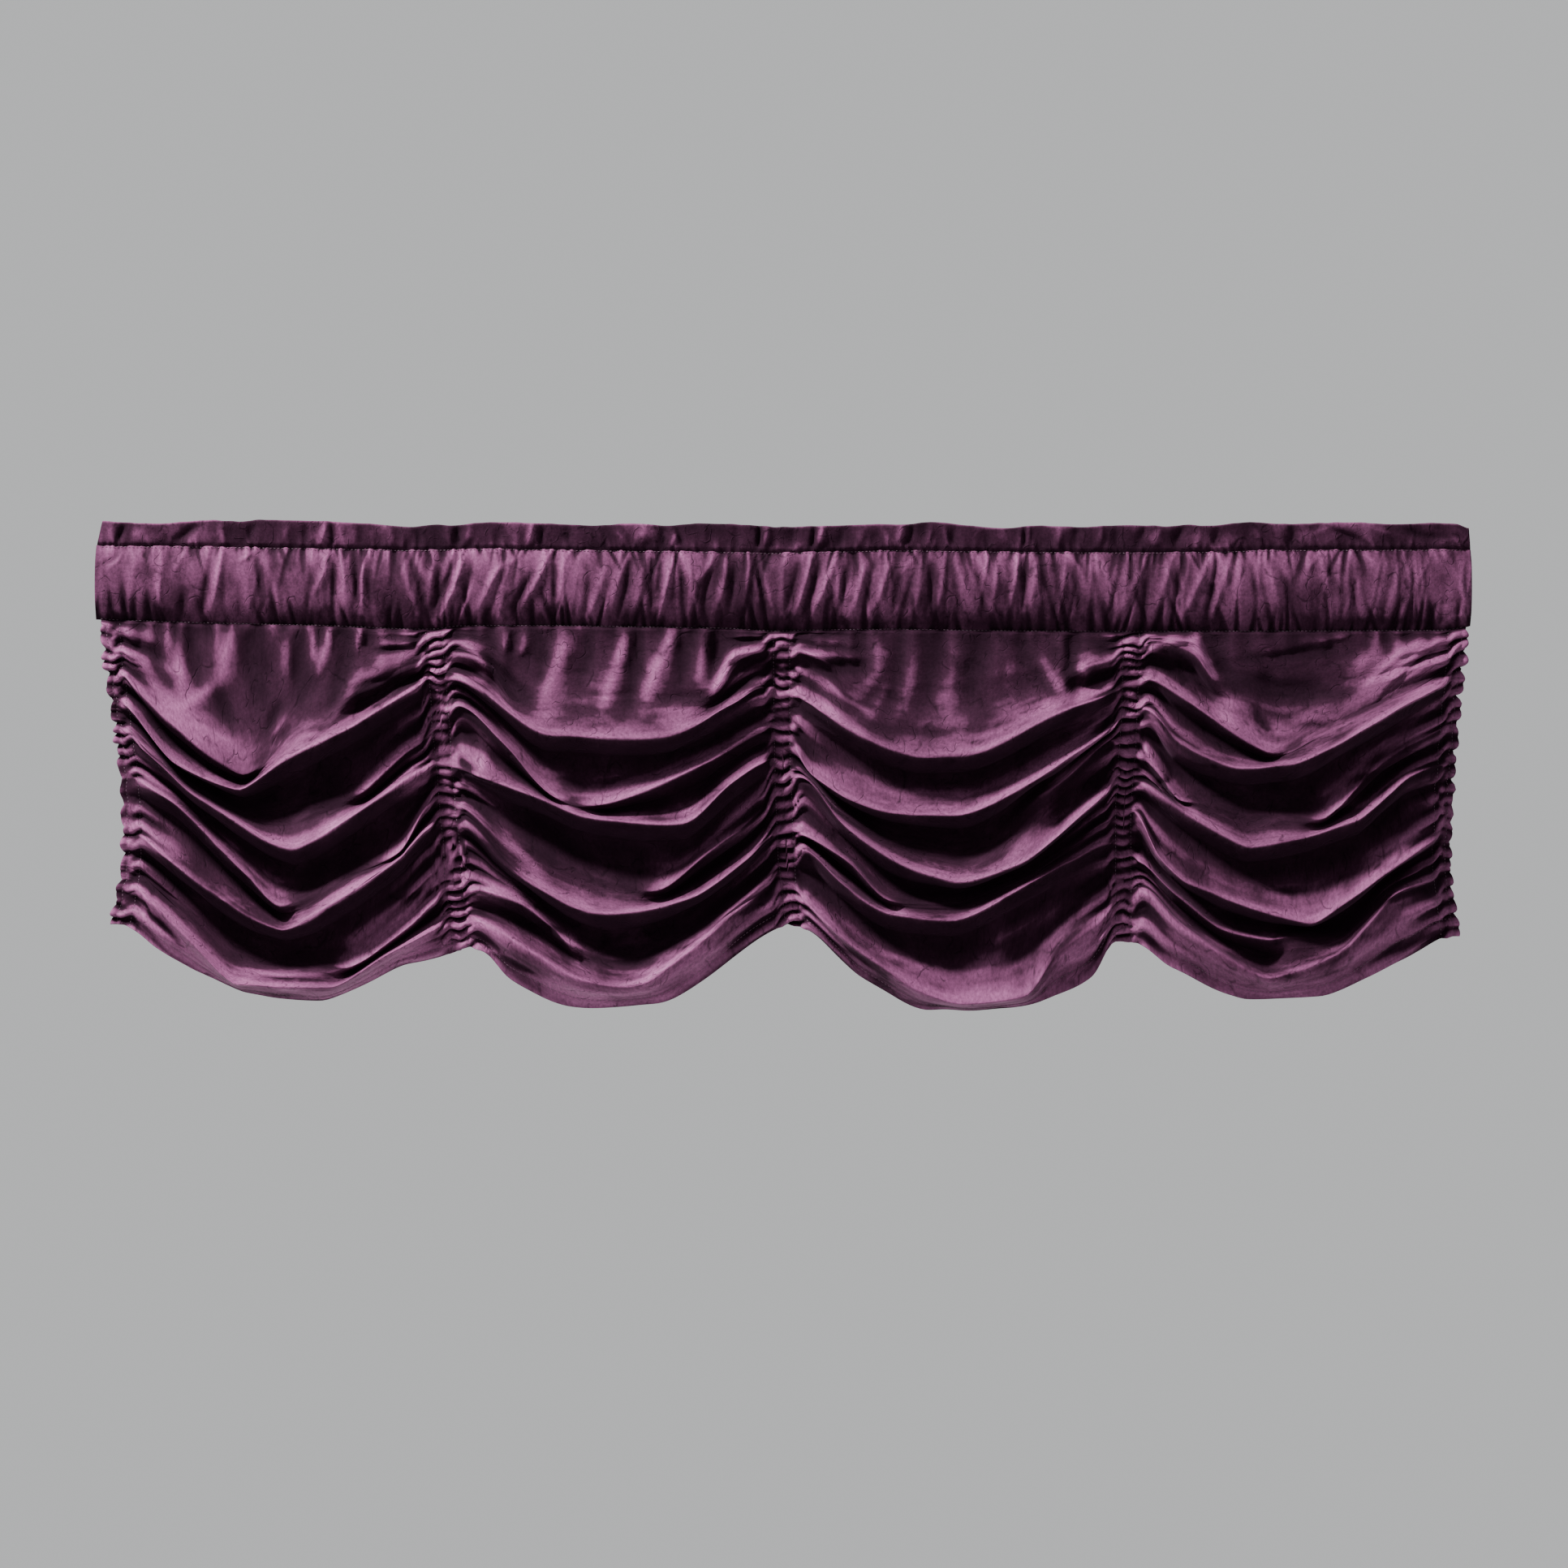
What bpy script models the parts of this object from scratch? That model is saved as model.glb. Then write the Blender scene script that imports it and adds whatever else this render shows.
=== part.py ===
# Window valance: a heading frill, a gathered rod pocket and one swagged panel.
# Metres, +X to the viewer's right, the front faces -Y, +Z up. The origin is the
# middle of the pocket's upper stitch line.
import math
from collections import namedtuple

import bmesh
import bpy
import numpy as np

for old in list(bpy.data.objects):
    bpy.data.objects.remove(old)

# The tables below are laid out on a grid, across to the right and down.
GRID = 0.00075  # metres for one step of the grid
MIDDLE_X = 964.0  # the object's middle, across
TOP_Y = 675.0  # the upper stitch line at the middle, down
TILT = 0.0047  # the grid is turned by this much, its right side lower

POCKET_HEIGHT = 0.0740
POCKET_LEFT, POCKET_RIGHT = -0.6375, 0.6375
GAP = 0.0003

POCKET_FRONT = 0.0135  # how far the pocket bulges forward, and back
POCKET_BACK = 0.0060

CLOTH = 0.0016  # velvet with its pile
VELVET = (0.085, 0.026, 0.060)
LEAN = 1.0  # a fold hangs this far down for each metre it stands forward
COLUMN_DEPTH = 0.006  # how far forward the gathered columns stand
HEM_DEPTH = 0.014
DEEPER = 1.15  # the folds' depths are scaled together by this much
SEAM_DEPTH = 0.0022

# Where each line of gathering runs: its place across at five heights.
Line = namedtuple("Line", "at780 at900 at1000 at1080 at1150")
LINES = [
    Line(121, 140, 152, 148, 133),  # left edge
    Line(532, 542, 551, 556, 568),
    Line(962, 963, 966, 971, 979),
    Line(1395, 1392, 1385, 1386, 1386),
    Line(1808, 1797, 1790, 1789, 1801),  # right edge
]
LINE_HEIGHTS = (780, 900, 1000, 1080, 1150)

# One row for each fold, from the top down. A fold leaves the left gathers at left,
# runs down its flank to two corners, a and b, and back up past rise to right.
# Between goneFrom and goneTo the valley under it has run out. Depth is in mm.
Fold = namedtuple(
    "Fold",
    "left flankX flankY aX aY bX bY riseX riseY right depth goneFrom goneTo",
)
NEVER = (0, 0)
SWAGS = [
    [
        Fold(822, 200, 880, 300, 955, 437, 854, 500, 822, 815, 22, 312, 430),
        Fold(862, 215, 938, 298, 974, 350, 940, 440, 893, 838, 36, *NEVER),
        Fold(886, 230, 965, 330, 1000, 445, 978, 501, 926, 911, 22, 0, 440),
        Fold(905, 240, 978, 330, 1036, 366, 1048, 440, 1003, 938, 37, *NEVER),
        Fold(958, 219, 992, 301, 1074, 347, 1118, 497, 1047, 985, 30, 352, 490),
        Fold(1028, 205, 1054, 260, 1098, 352, 1147, 490, 1060, 1014, 38, *NEVER),
        Fold(1060, 240, 1120, 340, 1180, 430, 1194, 510, 1136, 1103, 26, 0, 425),
        Fold(1085, 240, 1160, 295, 1214, 415, 1216, 480, 1175, 1138, 36, *NEVER),
    ],
    [
        Fold(800, 601, 820, 640, 870, 878, 858, 905, 822, 800, 18, 612, 872),
        Fold(826, 600, 855, 680, 906, 820, 909, 905, 867, 845, 36, *NEVER),
        Fold(862, 613, 907, 678, 977, 733, 993, 874, 939, 900, 28, 684, 728),
        Fold(945, 640, 972, 745, 1011, 845, 1014, 900, 966, 936, 37, *NEVER),
        Fold(972, 613, 1004, 672, 1070, 812, 1097, 874, 1050, 990, 27, 0, 806),
        Fold(1003, 628, 1066, 745, 1127, 858, 1103, 927, 1054, 1028, 38, *NEVER),
        Fold(1092, 646, 1113, 704, 1160, 800, 1190, 890, 1115, 1055, 25, 712, 2000),
        Fold(1126, 655, 1171, 715, 1204, 790, 1214, 829, 1188, 1078, 37, *NEVER),
    ],
    [
        Fold(800, 1010, 812, 1060, 850, 1250, 862, 1332, 822, 809, 18, 1016, 1328),
        Fold(856, 1050, 900, 1131, 933, 1190, 931, 1300, 880, 852, 38, *NEVER),
        Fold(915, 997, 950, 1098, 1000, 1182, 1006, 1278, 959, 886, 36, *NEVER),
        Fold(932, 1000, 968, 1120, 1030, 1290, 975, 1350, 925, 910, 20, 0, 1295),
        Fold(950, 1033, 1008, 1098, 1057, 1177, 1087, 1262, 1061, 962, 38, *NEVER),
        Fold(1021, 1049, 1064, 1092, 1108, 1180, 1120, 1300, 1052, 1005, 30, 1097, 2000),
        Fold(1041, 1033, 1083, 1092, 1123, 1179, 1133, 1278, 1083, 1034, 36, *NEVER),
        Fold(1103, 1066, 1175, 1175, 1235, 1265, 1225, 1305, 1165, 1120, 34, *NEVER),
    ],
    [
        Fold(790, 1473, 803, 1496, 838, 1600, 830, 1700, 800, 790, 16, 1502, 2000),
        Fold(832, 1453, 855, 1564, 927, 1640, 890, 1720, 850, 812, 24, 1572, 2000),
        Fold(868, 1447, 913, 1520, 945, 1590, 942, 1698, 884, 836, 38, *NEVER),
        Fold(930, 1430, 955, 1452, 986, 1631, 1008, 1698, 940, 893, 26, 1458, 1625),
        Fold(962, 1453, 995, 1535, 1043, 1674, 1009, 1731, 959, 943, 36, *NEVER),
        Fold(995, 1425, 1050, 1460, 1084, 1617, 1137, 1682, 1093, 1025, 36, *NEVER),
        Fold(1056, 1447, 1100, 1502, 1142, 1566, 1156, 1690, 1120, 1060, 28, 1574, 2000),
        Fold(1087, 1453, 1139, 1561, 1205, 1659, 1169, 1715, 1105, 1084, 36, *NEVER),
    ],
]
Hem = namedtuple("Hem", "left flankX flankY aX aY bX bY riseX riseY right")
HEMS = [
    Hem(1138, 190, 1165, 300, 1224, 400, 1234, 500, 1190, 1177),
    Hem(1163, 626, 1204, 700, 1240, 809, 1237, 891, 1191, 1139),
    Hem(1141, 1059, 1201, 1144, 1244, 1246, 1241, 1350, 1200, 1158),
    Hem(1161, 1443, 1190, 1535, 1231, 1633, 1227, 1731, 1183, 1153),
]

# Lines of the mesh: how far each stands from a gathered line, and where each row
# lies between one fold and the next.
FROM_LINE = (0.0, 0.008, 0.018, 0.034, 0.056, 0.084, 0.118)
STEPS = (0.0, 0.14, 0.36, 0.60, 0.82)
FIRST_STEPS = (0.0, 0.20, 0.42, 0.64, 0.84)


def smooth(x):
    x = np.clip(x, 0.0, 1.0)
    return x * x * (3.0 - 2.0 * x)


def heightOf(gx, gy):
    return (TOP_Y + TILT * (gx - MIDDLE_X) - gy) * GRID


def lineAt(line, gy):
    return np.interp(gy, LINE_HEIGHTS, line)


def crest(fold, leftLine, rightLine, leftY, rightY, across):
    """Grid place of one fold, at each share across its swag."""
    left, right = lineAt(leftLine, leftY), lineAt(rightLine, rightY)
    gx = left + across * (right - left)
    xs = [left, left + 18, fold.flankX, fold.aX, fold.bX, fold.riseX, right - 18, right]
    ys = [leftY, fold.left, fold.flankY, fold.aY, fold.bY, fold.riseY, fold.right, rightY]
    fine = np.arange(left - 60, right + 60, 1.0)
    level = np.interp(fine, xs, ys)
    reach = np.arange(-24, 25)
    weights = np.exp(-((reach / 9.0) ** 2))
    soft = np.convolve(np.pad(level, 24, mode="edge"), weights / weights.sum(), mode="valid")
    return gx, np.interp(gx, fine, soft)


def foldRows(index, across):
    """Rows of one swag from its first fold to its hem. Each has its x, its height
    before it leans, its depth, and how far its valley is shut and its fold sunk."""
    leftLine, rightLine = LINES[index], LINES[index + 1]
    folds = SWAGS[index] + [HEMS[index]]
    before = SWAGS[index - 1] + [HEMS[index - 1]] if index > 0 else folds
    after = SWAGS[index + 1] + [HEMS[index + 1]] if index < 3 else folds
    rows = []
    for k, fold in enumerate(folds):
        leftY = fold.left if index == 0 else (fold.left + before[k].right) / 2
        rightY = fold.right if index == 3 else (fold.right + after[k].left) / 2
        gx, gy = crest(fold, leftLine, rightLine, leftY, rightY, across)
        width = (lineAt(rightLine, rightY) - lineAt(leftLine, leftY)) * GRID
        nearLeft = np.maximum(across * width - 0.005, 0.0)
        nearRight = np.maximum((1 - across) * width - 0.005, 0.0)
        fullness = (1 - np.exp(-nearLeft / 0.030)) * (1 - np.exp(-nearRight / 0.030))
        if k < len(SWAGS[index]):
            depth = COLUMN_DEPTH + (DEEPER * fold.depth / 1000 - COLUMN_DEPTH) * fullness
            shut = smooth((gx - fold.goneFrom) / 20 + 0.5) * smooth(
                (fold.goneTo - gx) / 20 + 0.5
            )
            sunk = smooth((gx - fold.goneFrom) / 90) * smooth((fold.goneTo - gx) / 90)
        else:
            depth = COLUMN_DEPTH + (HEM_DEPTH - COLUMN_DEPTH) * fullness
            shut = sunk = np.zeros_like(gx)
        base = heightOf(gx, gy) + LEAN * depth
        rows.append([(gx - MIDDLE_X) * GRID, base, depth, shut, sunk])
    return rows


def drape(index, across, steps, firstSteps):
    """Every row of one swag: x, base height and depth, with its place at the column."""
    rows = foldRows(index, across)
    leftSeam, rightSeam = lineAt(LINES[index], 780), lineAt(LINES[index + 1], 780)
    seamX = (leftSeam + across * (rightSeam - leftSeam) - MIDDLE_X) * GRID
    top = -POCKET_HEIGHT - GAP + LEAN * (SEAM_DEPTH - CLOTH / 2)
    flat = np.zeros_like(seamX)
    seam = [seamX, flat + top, flat + SEAM_DEPTH, flat, flat]
    rows = [seam] + rows
    # Where a fold has run out, its row lies on the pouch of the fold below it.
    for k in range(1, len(rows) - 1):
        sunk = rows[k][4]
        upper, lower = rows[k - 1], rows[k + 1]
        rows[k][1] = (1 - sunk) * rows[k][1] + sunk * (0.42 * upper[1] + 0.58 * lower[1])
        rows[k][2] = (1 - sunk) * rows[k][2] + sunk * (0.10 * upper[2] + 0.50 * lower[2])
    for k in range(1, len(rows)):
        rows[k][1] = np.minimum(rows[k][1], rows[k - 1][1] - 0.010)
    found = []
    last = len(rows) - 1
    for k in range(last):
        upper, lower = rows[k], rows[k + 1]
        for f in firstSteps if k == 0 else steps:
            x = upper[0] + f * (lower[0] - upper[0])
            t = upper[1] + f * (lower[1] - upper[1])
            depth = upper[2] + f * (lower[2] - upper[2])
            if 0 < k < last - 1:
                valley = math.sin(math.pi * f**0.68) ** 2
                depth = depth * (1 - (1 - upper[3]) * valley)
            found.append([x, t, depth])
    found.append(rows[last][:3])
    return found


def velvet(name):
    material = bpy.data.materials.new(name)
    material.use_nodes = True
    shader = material.node_tree.nodes["Principled BSDF"]
    shader.inputs["Base Color"].default_value = (*VELVET, 1.0)
    shader.inputs["Roughness"].default_value = 0.7
    shader.inputs["Metallic"].default_value = 0.0
    return material


def addMesh(name, bm):
    bmesh.ops.recalc_face_normals(bm, faces=bm.faces)
    mesh = bpy.data.meshes.new(name)
    bm.to_mesh(mesh)
    bm.free()
    mesh.shade_smooth()
    mesh.set_sharp_from_angle(angle=math.radians(60))
    mesh.materials.append(velvet(name))
    obj = bpy.data.objects.new(name, mesh)
    bpy.context.scene.collection.objects.link(obj)
    return obj


def slab(name, front, back):
    """A closed sheet between two grids of points, each (rows, lines, 3)."""
    rows, lines = front.shape[:2]
    bm = bmesh.new()
    bmesh.ops.create_grid(
        bm, x_segments=lines - 1, y_segments=rows - 1, size=0.5
    )
    made = bmesh.ops.extrude_face_region(bm, geom=list(bm.faces))
    behind = {v for v in made["geom"] if isinstance(v, bmesh.types.BMVert)}
    for vert in bm.verts:
        line = round((vert.co.x + 0.5) * (lines - 1))
        row = round((0.5 - vert.co.y) * (rows - 1))
        vert.co = (back if vert in behind else front)[row, line]
    bmesh.ops.triangulate(bm, faces=bm.faces)
    return addMesh(name, bm)


def swagPanel():
    grids = []
    for index in range(4):
        width = (LINES[index + 1].at1000 - LINES[index].at1000) * GRID
        half = [d / width for d in FROM_LINE]
        across = half + [0.5] + [1 - d for d in reversed(half)]
        if index:
            across = across[1:]
        across = np.array(across)
        grid = np.array(drape(index, across, STEPS, FIRST_STEPS))
        # Gathers: every other row stands forward at a gathered line and dies away.
        near = np.minimum(across, 1 - across) * width
        apart = -np.gradient(grid[:, 1], axis=0)
        for row in range(1, grid.shape[0] - 1):
            side = 1 if row % 2 else -1
            pucker = side * np.minimum(0.0024, 0.45 * apart[row]) * np.exp(-near / 0.020)
            grid[row, 2] += pucker
            if index == 0:
                grid[row, 0, 0] -= 0.4 * pucker[0]
            if index == 3:
                grid[row, 0, -1] += 0.4 * pucker[-1]
        grid[:, 2] = np.maximum(grid[:, 2], 0.0005)
        grids.append(grid)
    x, t, depth = np.moveaxis(np.concatenate(grids, axis=2), 1, 0)
    # The cloth keeps its thickness square to its own face, however far it leans.
    down = np.gradient(depth, axis=0) / np.gradient(t, axis=0)
    aside = np.gradient(depth, axis=1) / np.gradient(x, axis=1)
    steep = np.sqrt(aside**2 + (LEAN * down - 1) ** 2 + down**2)
    wall = CLOTH * np.clip(steep, 1.0, 2.6)
    wall[0] = CLOTH

    def placed(d):
        return np.stack([x, -d, t - LEAN * d], axis=-1)

    return slab("swag_panel", placed(depth + wall / 2), placed(depth - wall / 2))


def rodPocket():
    """A flattened tube, open at both ends, its front drawn up into uneven gathers."""
    lines, around = 66, 14
    wall = 0.0016
    x = np.linspace(POCKET_LEFT, POCKET_RIGHT, lines)
    wave = np.array([1.0 if i % 2 else -1.0 for i in range(lines)])
    size = 0.0021 * (1 + 0.5 * np.sin(x * 21.0) + 0.3 * np.sin(x * 53.0 + 1.0))
    middle = -POCKET_HEIGHT / 2
    bm = bmesh.new()
    bmesh.ops.create_grid(bm, x_segments=lines - 1, y_segments=around, size=0.5)
    for vert in bm.verts:
        turn = 2 * math.pi * (0.5 - vert.co.y)
        vert.co = (vert.co.x, math.sin(turn), math.cos(turn))
    bmesh.ops.remove_doubles(bm, verts=bm.verts, dist=0.0001)
    made = bmesh.ops.extrude_face_region(bm, geom=list(bm.faces))
    inside = {v for v in made["geom"] if isinstance(v, bmesh.types.BMVert)}
    for vert in bm.verts:
        line = round((vert.co.x + 0.5) * (lines - 1))
        sideways, up = vert.co.y, vert.co.z
        inner = vert in inside
        front = sideways > 0
        high = POCKET_HEIGHT / 2 - (wall if inner else 0)
        out = (POCKET_FRONT if front else POCKET_BACK) - (wall if inner else 0)
        bulge = abs(sideways) ** 0.75
        up = math.copysign(abs(up) ** 0.85, up)
        drawn = size[line] * wave[line] * bulge * (1.0 if front else 0.4)
        lean = 0.0 if line in (0, lines - 1) else 0.004 * up * math.sin(x[line] * 31.0)
        vert.co = (
            x[line] + lean,
            (-1 if front else 1) * (out * bulge + drawn),
            middle + high * up,
        )
    bmesh.ops.triangulate(bm, faces=bm.faces)
    return addMesh("rod_pocket", bm)


def headingFrill():
    """Both layers of the cloth above the rod, stood up in a soft wave."""
    lines, rows = 86, 3
    x = np.linspace(POCKET_LEFT, POCKET_RIGHT, lines)
    rise = np.linspace(1.0, 0.0, rows)[:, None]
    edge = 0.0245 + 0.0016 * np.sin(x * 17.0 + 0.6) + 0.0012 * np.sin(x * 71.0)
    sway = (0.0016 + 0.0012 * rise) * np.sin(x * 168.0 + 1.4 * np.sin(x * 23.0))
    slant = np.where(x < 0, 0.006, 0.002) * np.clip((abs(x) - 0.6) / 0.0375, 0, 1)
    across = x[None, :] - np.sign(x) * slant * rise
    z = GAP + rise * edge[None, :]

    def placed(y):
        return np.stack([across, y, z], axis=-1)

    return slab("heading_frill", placed(sway - 0.0036), placed(sway - 0.0004))


headingFrill()
rodPocket()
swagPanel()
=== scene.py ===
import math
from collections import namedtuple

import bmesh
import bpy
import numpy as np
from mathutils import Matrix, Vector


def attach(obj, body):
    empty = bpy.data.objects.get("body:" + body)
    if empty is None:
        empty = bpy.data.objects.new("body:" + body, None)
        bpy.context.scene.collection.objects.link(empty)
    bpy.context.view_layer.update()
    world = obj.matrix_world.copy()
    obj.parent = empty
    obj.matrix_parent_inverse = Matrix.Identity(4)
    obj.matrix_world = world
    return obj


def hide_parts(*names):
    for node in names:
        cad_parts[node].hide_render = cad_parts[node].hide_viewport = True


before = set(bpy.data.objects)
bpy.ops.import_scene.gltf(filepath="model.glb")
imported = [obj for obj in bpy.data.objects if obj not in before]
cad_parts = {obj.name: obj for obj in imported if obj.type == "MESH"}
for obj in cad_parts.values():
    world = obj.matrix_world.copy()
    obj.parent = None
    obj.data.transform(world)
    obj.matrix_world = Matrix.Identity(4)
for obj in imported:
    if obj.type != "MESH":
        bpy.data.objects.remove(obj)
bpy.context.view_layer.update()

print("frame loaded")

# The fold tables are laid out on a grid of 0.75 mm steps, across to the right and
# down, with the middle of the upper stitch line at 964, 675. The grid is turned a
# little, its right side lower.
layout = {"step": 0.00075, "middleX": 964.0, "topY": 675.0, "tilt": 0.0047}


def acrossOf(x):
    return x / layout["step"] + layout["middleX"]


def levelAt(gx):
    return layout["topY"] + layout["tilt"] * (gx - layout["middleX"])


def heightOf(gx, gy):
    return (levelAt(gx) - gy) * layout["step"]


# How far the two rows of stitching dip below the level, in grid steps.
SeamDip = namedtuple("SeamDip", "across top foot")
seamDips = [
    SeamDip(117, -0.5, -7.0),
    SeamDip(135, 0.0, -5.5),
    SeamDip(165, 0.0, -4.5),
    SeamDip(250, 0.0, -2.0),
    SeamDip(400, 1.7, 0.4),
    SeamDip(500, 3.2, 4.5),
    SeamDip(535, 2.6, 4.2),
    SeamDip(560, 1.8, 0.2),
    SeamDip(610, 0.7, -0.7),
    SeamDip(700, 2.2, -0.7),
    SeamDip(800, 2.8, 0.5),
    SeamDip(900, 3.7, 1.6),
    SeamDip(950, 4.7, 5.0),
    SeamDip(1000, 3.4, 3.2),
    SeamDip(1100, 0.4, 1.5),
    SeamDip(1200, 1.4, 2.7),
    SeamDip(1300, 1.8, 3.2),
    SeamDip(1400, 2.0, 3.2),
    SeamDip(1500, 0.5, 2.4),
    SeamDip(1560, -2.0, 2.0),
    SeamDip(1780, -3.4, 0.0),
    SeamDip(1800, -3.6, -3.0),
    SeamDip(1814, -2.4, -7.0),
]


def seamDip(x, seam):
    places = [dip.across for dip in seamDips]
    dips = [dip.top if seam == "top" else dip.foot for dip in seamDips]
    return layout["step"] * np.interp(acrossOf(x), places, dips)


def smooth(x):
    x = np.clip(x, 0.0, 1.0)
    return x * x * (3.0 - 2.0 * x)


# One where away is nothing, and less with distance. Power 1 falls off at once, and a
# higher power is flatter on top.
def hump(away, wide, power=2):
    return np.exp(-((away / wide) ** power))


# Smooth random hills and hollows between -1 and 1, each about wideU by wideV.
def softNoise(seed, u, v, wideU, wideV):
    cells, startU, startV = 64, 13.0, 17.0
    grid = np.random.default_rng(seed).uniform(-1.0, 1.0, (cells, cells))
    a, b = u / wideU + startU, v / wideV + startV
    ia, ib = np.floor(a).astype(int), np.floor(b).astype(int)
    fa, fb = smooth(a - ia), smooth(b - ib)

    def at(i, j):
        return grid[i % cells, j % cells]

    top = at(ia, ib) * (1 - fa) + at(ia + 1, ib) * fa
    low = at(ia, ib + 1) * (1 - fa) + at(ia + 1, ib + 1) * fa
    return top * (1 - fb) + low * fb


Noise = namedtuple("Noise", "high seed wideU wideV")


def spread(noise, u, v, base=0):
    return noise.high * softNoise(noise.seed + base, u, v, noise.wideU, noise.wideV)


# Places that step unevenly from start past stop, each with its own height.
def unevenSteps(seed, start, stop, least, most):
    rng = np.random.default_rng(seed)
    places = [start]
    while places[-1] < stop:
        places.append(places[-1] + rng.uniform(least, most))
    return np.array(places), rng.uniform(0.45, 1.25, len(places))


# A ridge on each place, narrow where sharp is over 1 and broad where it is under 1.
def ridges(value, steps, sharp):
    places, heights = steps
    phase = np.interp(value, places, np.arange(len(places)))
    near = np.round(phase).astype(int)
    lift = 0.5 + 0.5 * np.cos(2 * math.pi * phase)
    return (lift**sharp - 0.5) * heights[near]


def addToScene(name, data):
    obj = bpy.data.objects.new(name, data)
    bpy.context.scene.collection.objects.link(obj)
    return obj


def meshFrom(bm, name):
    mesh = bpy.data.meshes.new(name)
    bm.to_mesh(mesh)
    bm.free()
    return mesh


# A flat grid that stands for the cloth until its points are set.
def makeGrid(name, lines, rows):
    bm = bmesh.new()
    bmesh.ops.create_grid(bm, x_segments=lines - 1, y_segments=rows - 1, size=0.5)
    return addToScene(name, meshFrom(bm, name))


def readPoints(mesh):
    co = np.empty(len(mesh.vertices) * 3, np.float32)
    mesh.vertices.foreach_get("co", co)
    return co.reshape(-1, 3)


# Which line and row of the grid each vertex is on.
def gridPlaces(mesh, lines, rows):
    co = readPoints(mesh)
    line = np.round((co[:, 0] + 0.5) * (lines - 1)).astype(int)
    row = np.round((0.5 - co[:, 1]) * (rows - 1)).astype(int)
    return line, row


def setPoints(mesh, points):
    mesh.vertices.foreach_set("co", np.ascontiguousarray(points, np.float32).ravel())
    mesh.update()


# Where each corner lies on the flat cloth, in metres.
def addClothMap(mesh, u, v):
    layer = mesh.uv_layers.new(name="cloth")
    corner = np.empty(len(mesh.loops), np.int32)
    mesh.loops.foreach_get("vertex_index", corner)
    uv = np.stack([u[corner], v[corner]], axis=1)
    layer.data.foreach_set("uv", np.ascontiguousarray(uv, np.float32).ravel())


# The painted light of the cloth: painted shade, 0, in a hollow and a painted highlight, 1 or more,
# on a crest, with random tone laid over it.
def addPaintedLight(mesh, paintedLightAndTone):
    mostPaintedLight = 1.4
    layer = mesh.attributes.new("paintedLightAndTone", "FLOAT", "POINT")
    layer.data.foreach_set("value", np.ascontiguousarray(np.clip(paintedLightAndTone, 0, mostPaintedLight), np.float32))


# Where the five gathered lines stand across the grid, at five heights down it.
Line = namedtuple("Line", "at780 at900 at1000 at1080 at1150")
gatherLines = [
    Line(121, 140, 152, 148, 133),
    Line(532, 542, 551, 556, 568),
    Line(962, 963, 966, 971, 979),
    Line(1395, 1392, 1385, 1386, 1386),
    Line(1808, 1797, 1790, 1789, 1801),
]
lineHeights = (780, 900, 1000, 1080, 1150)
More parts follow.
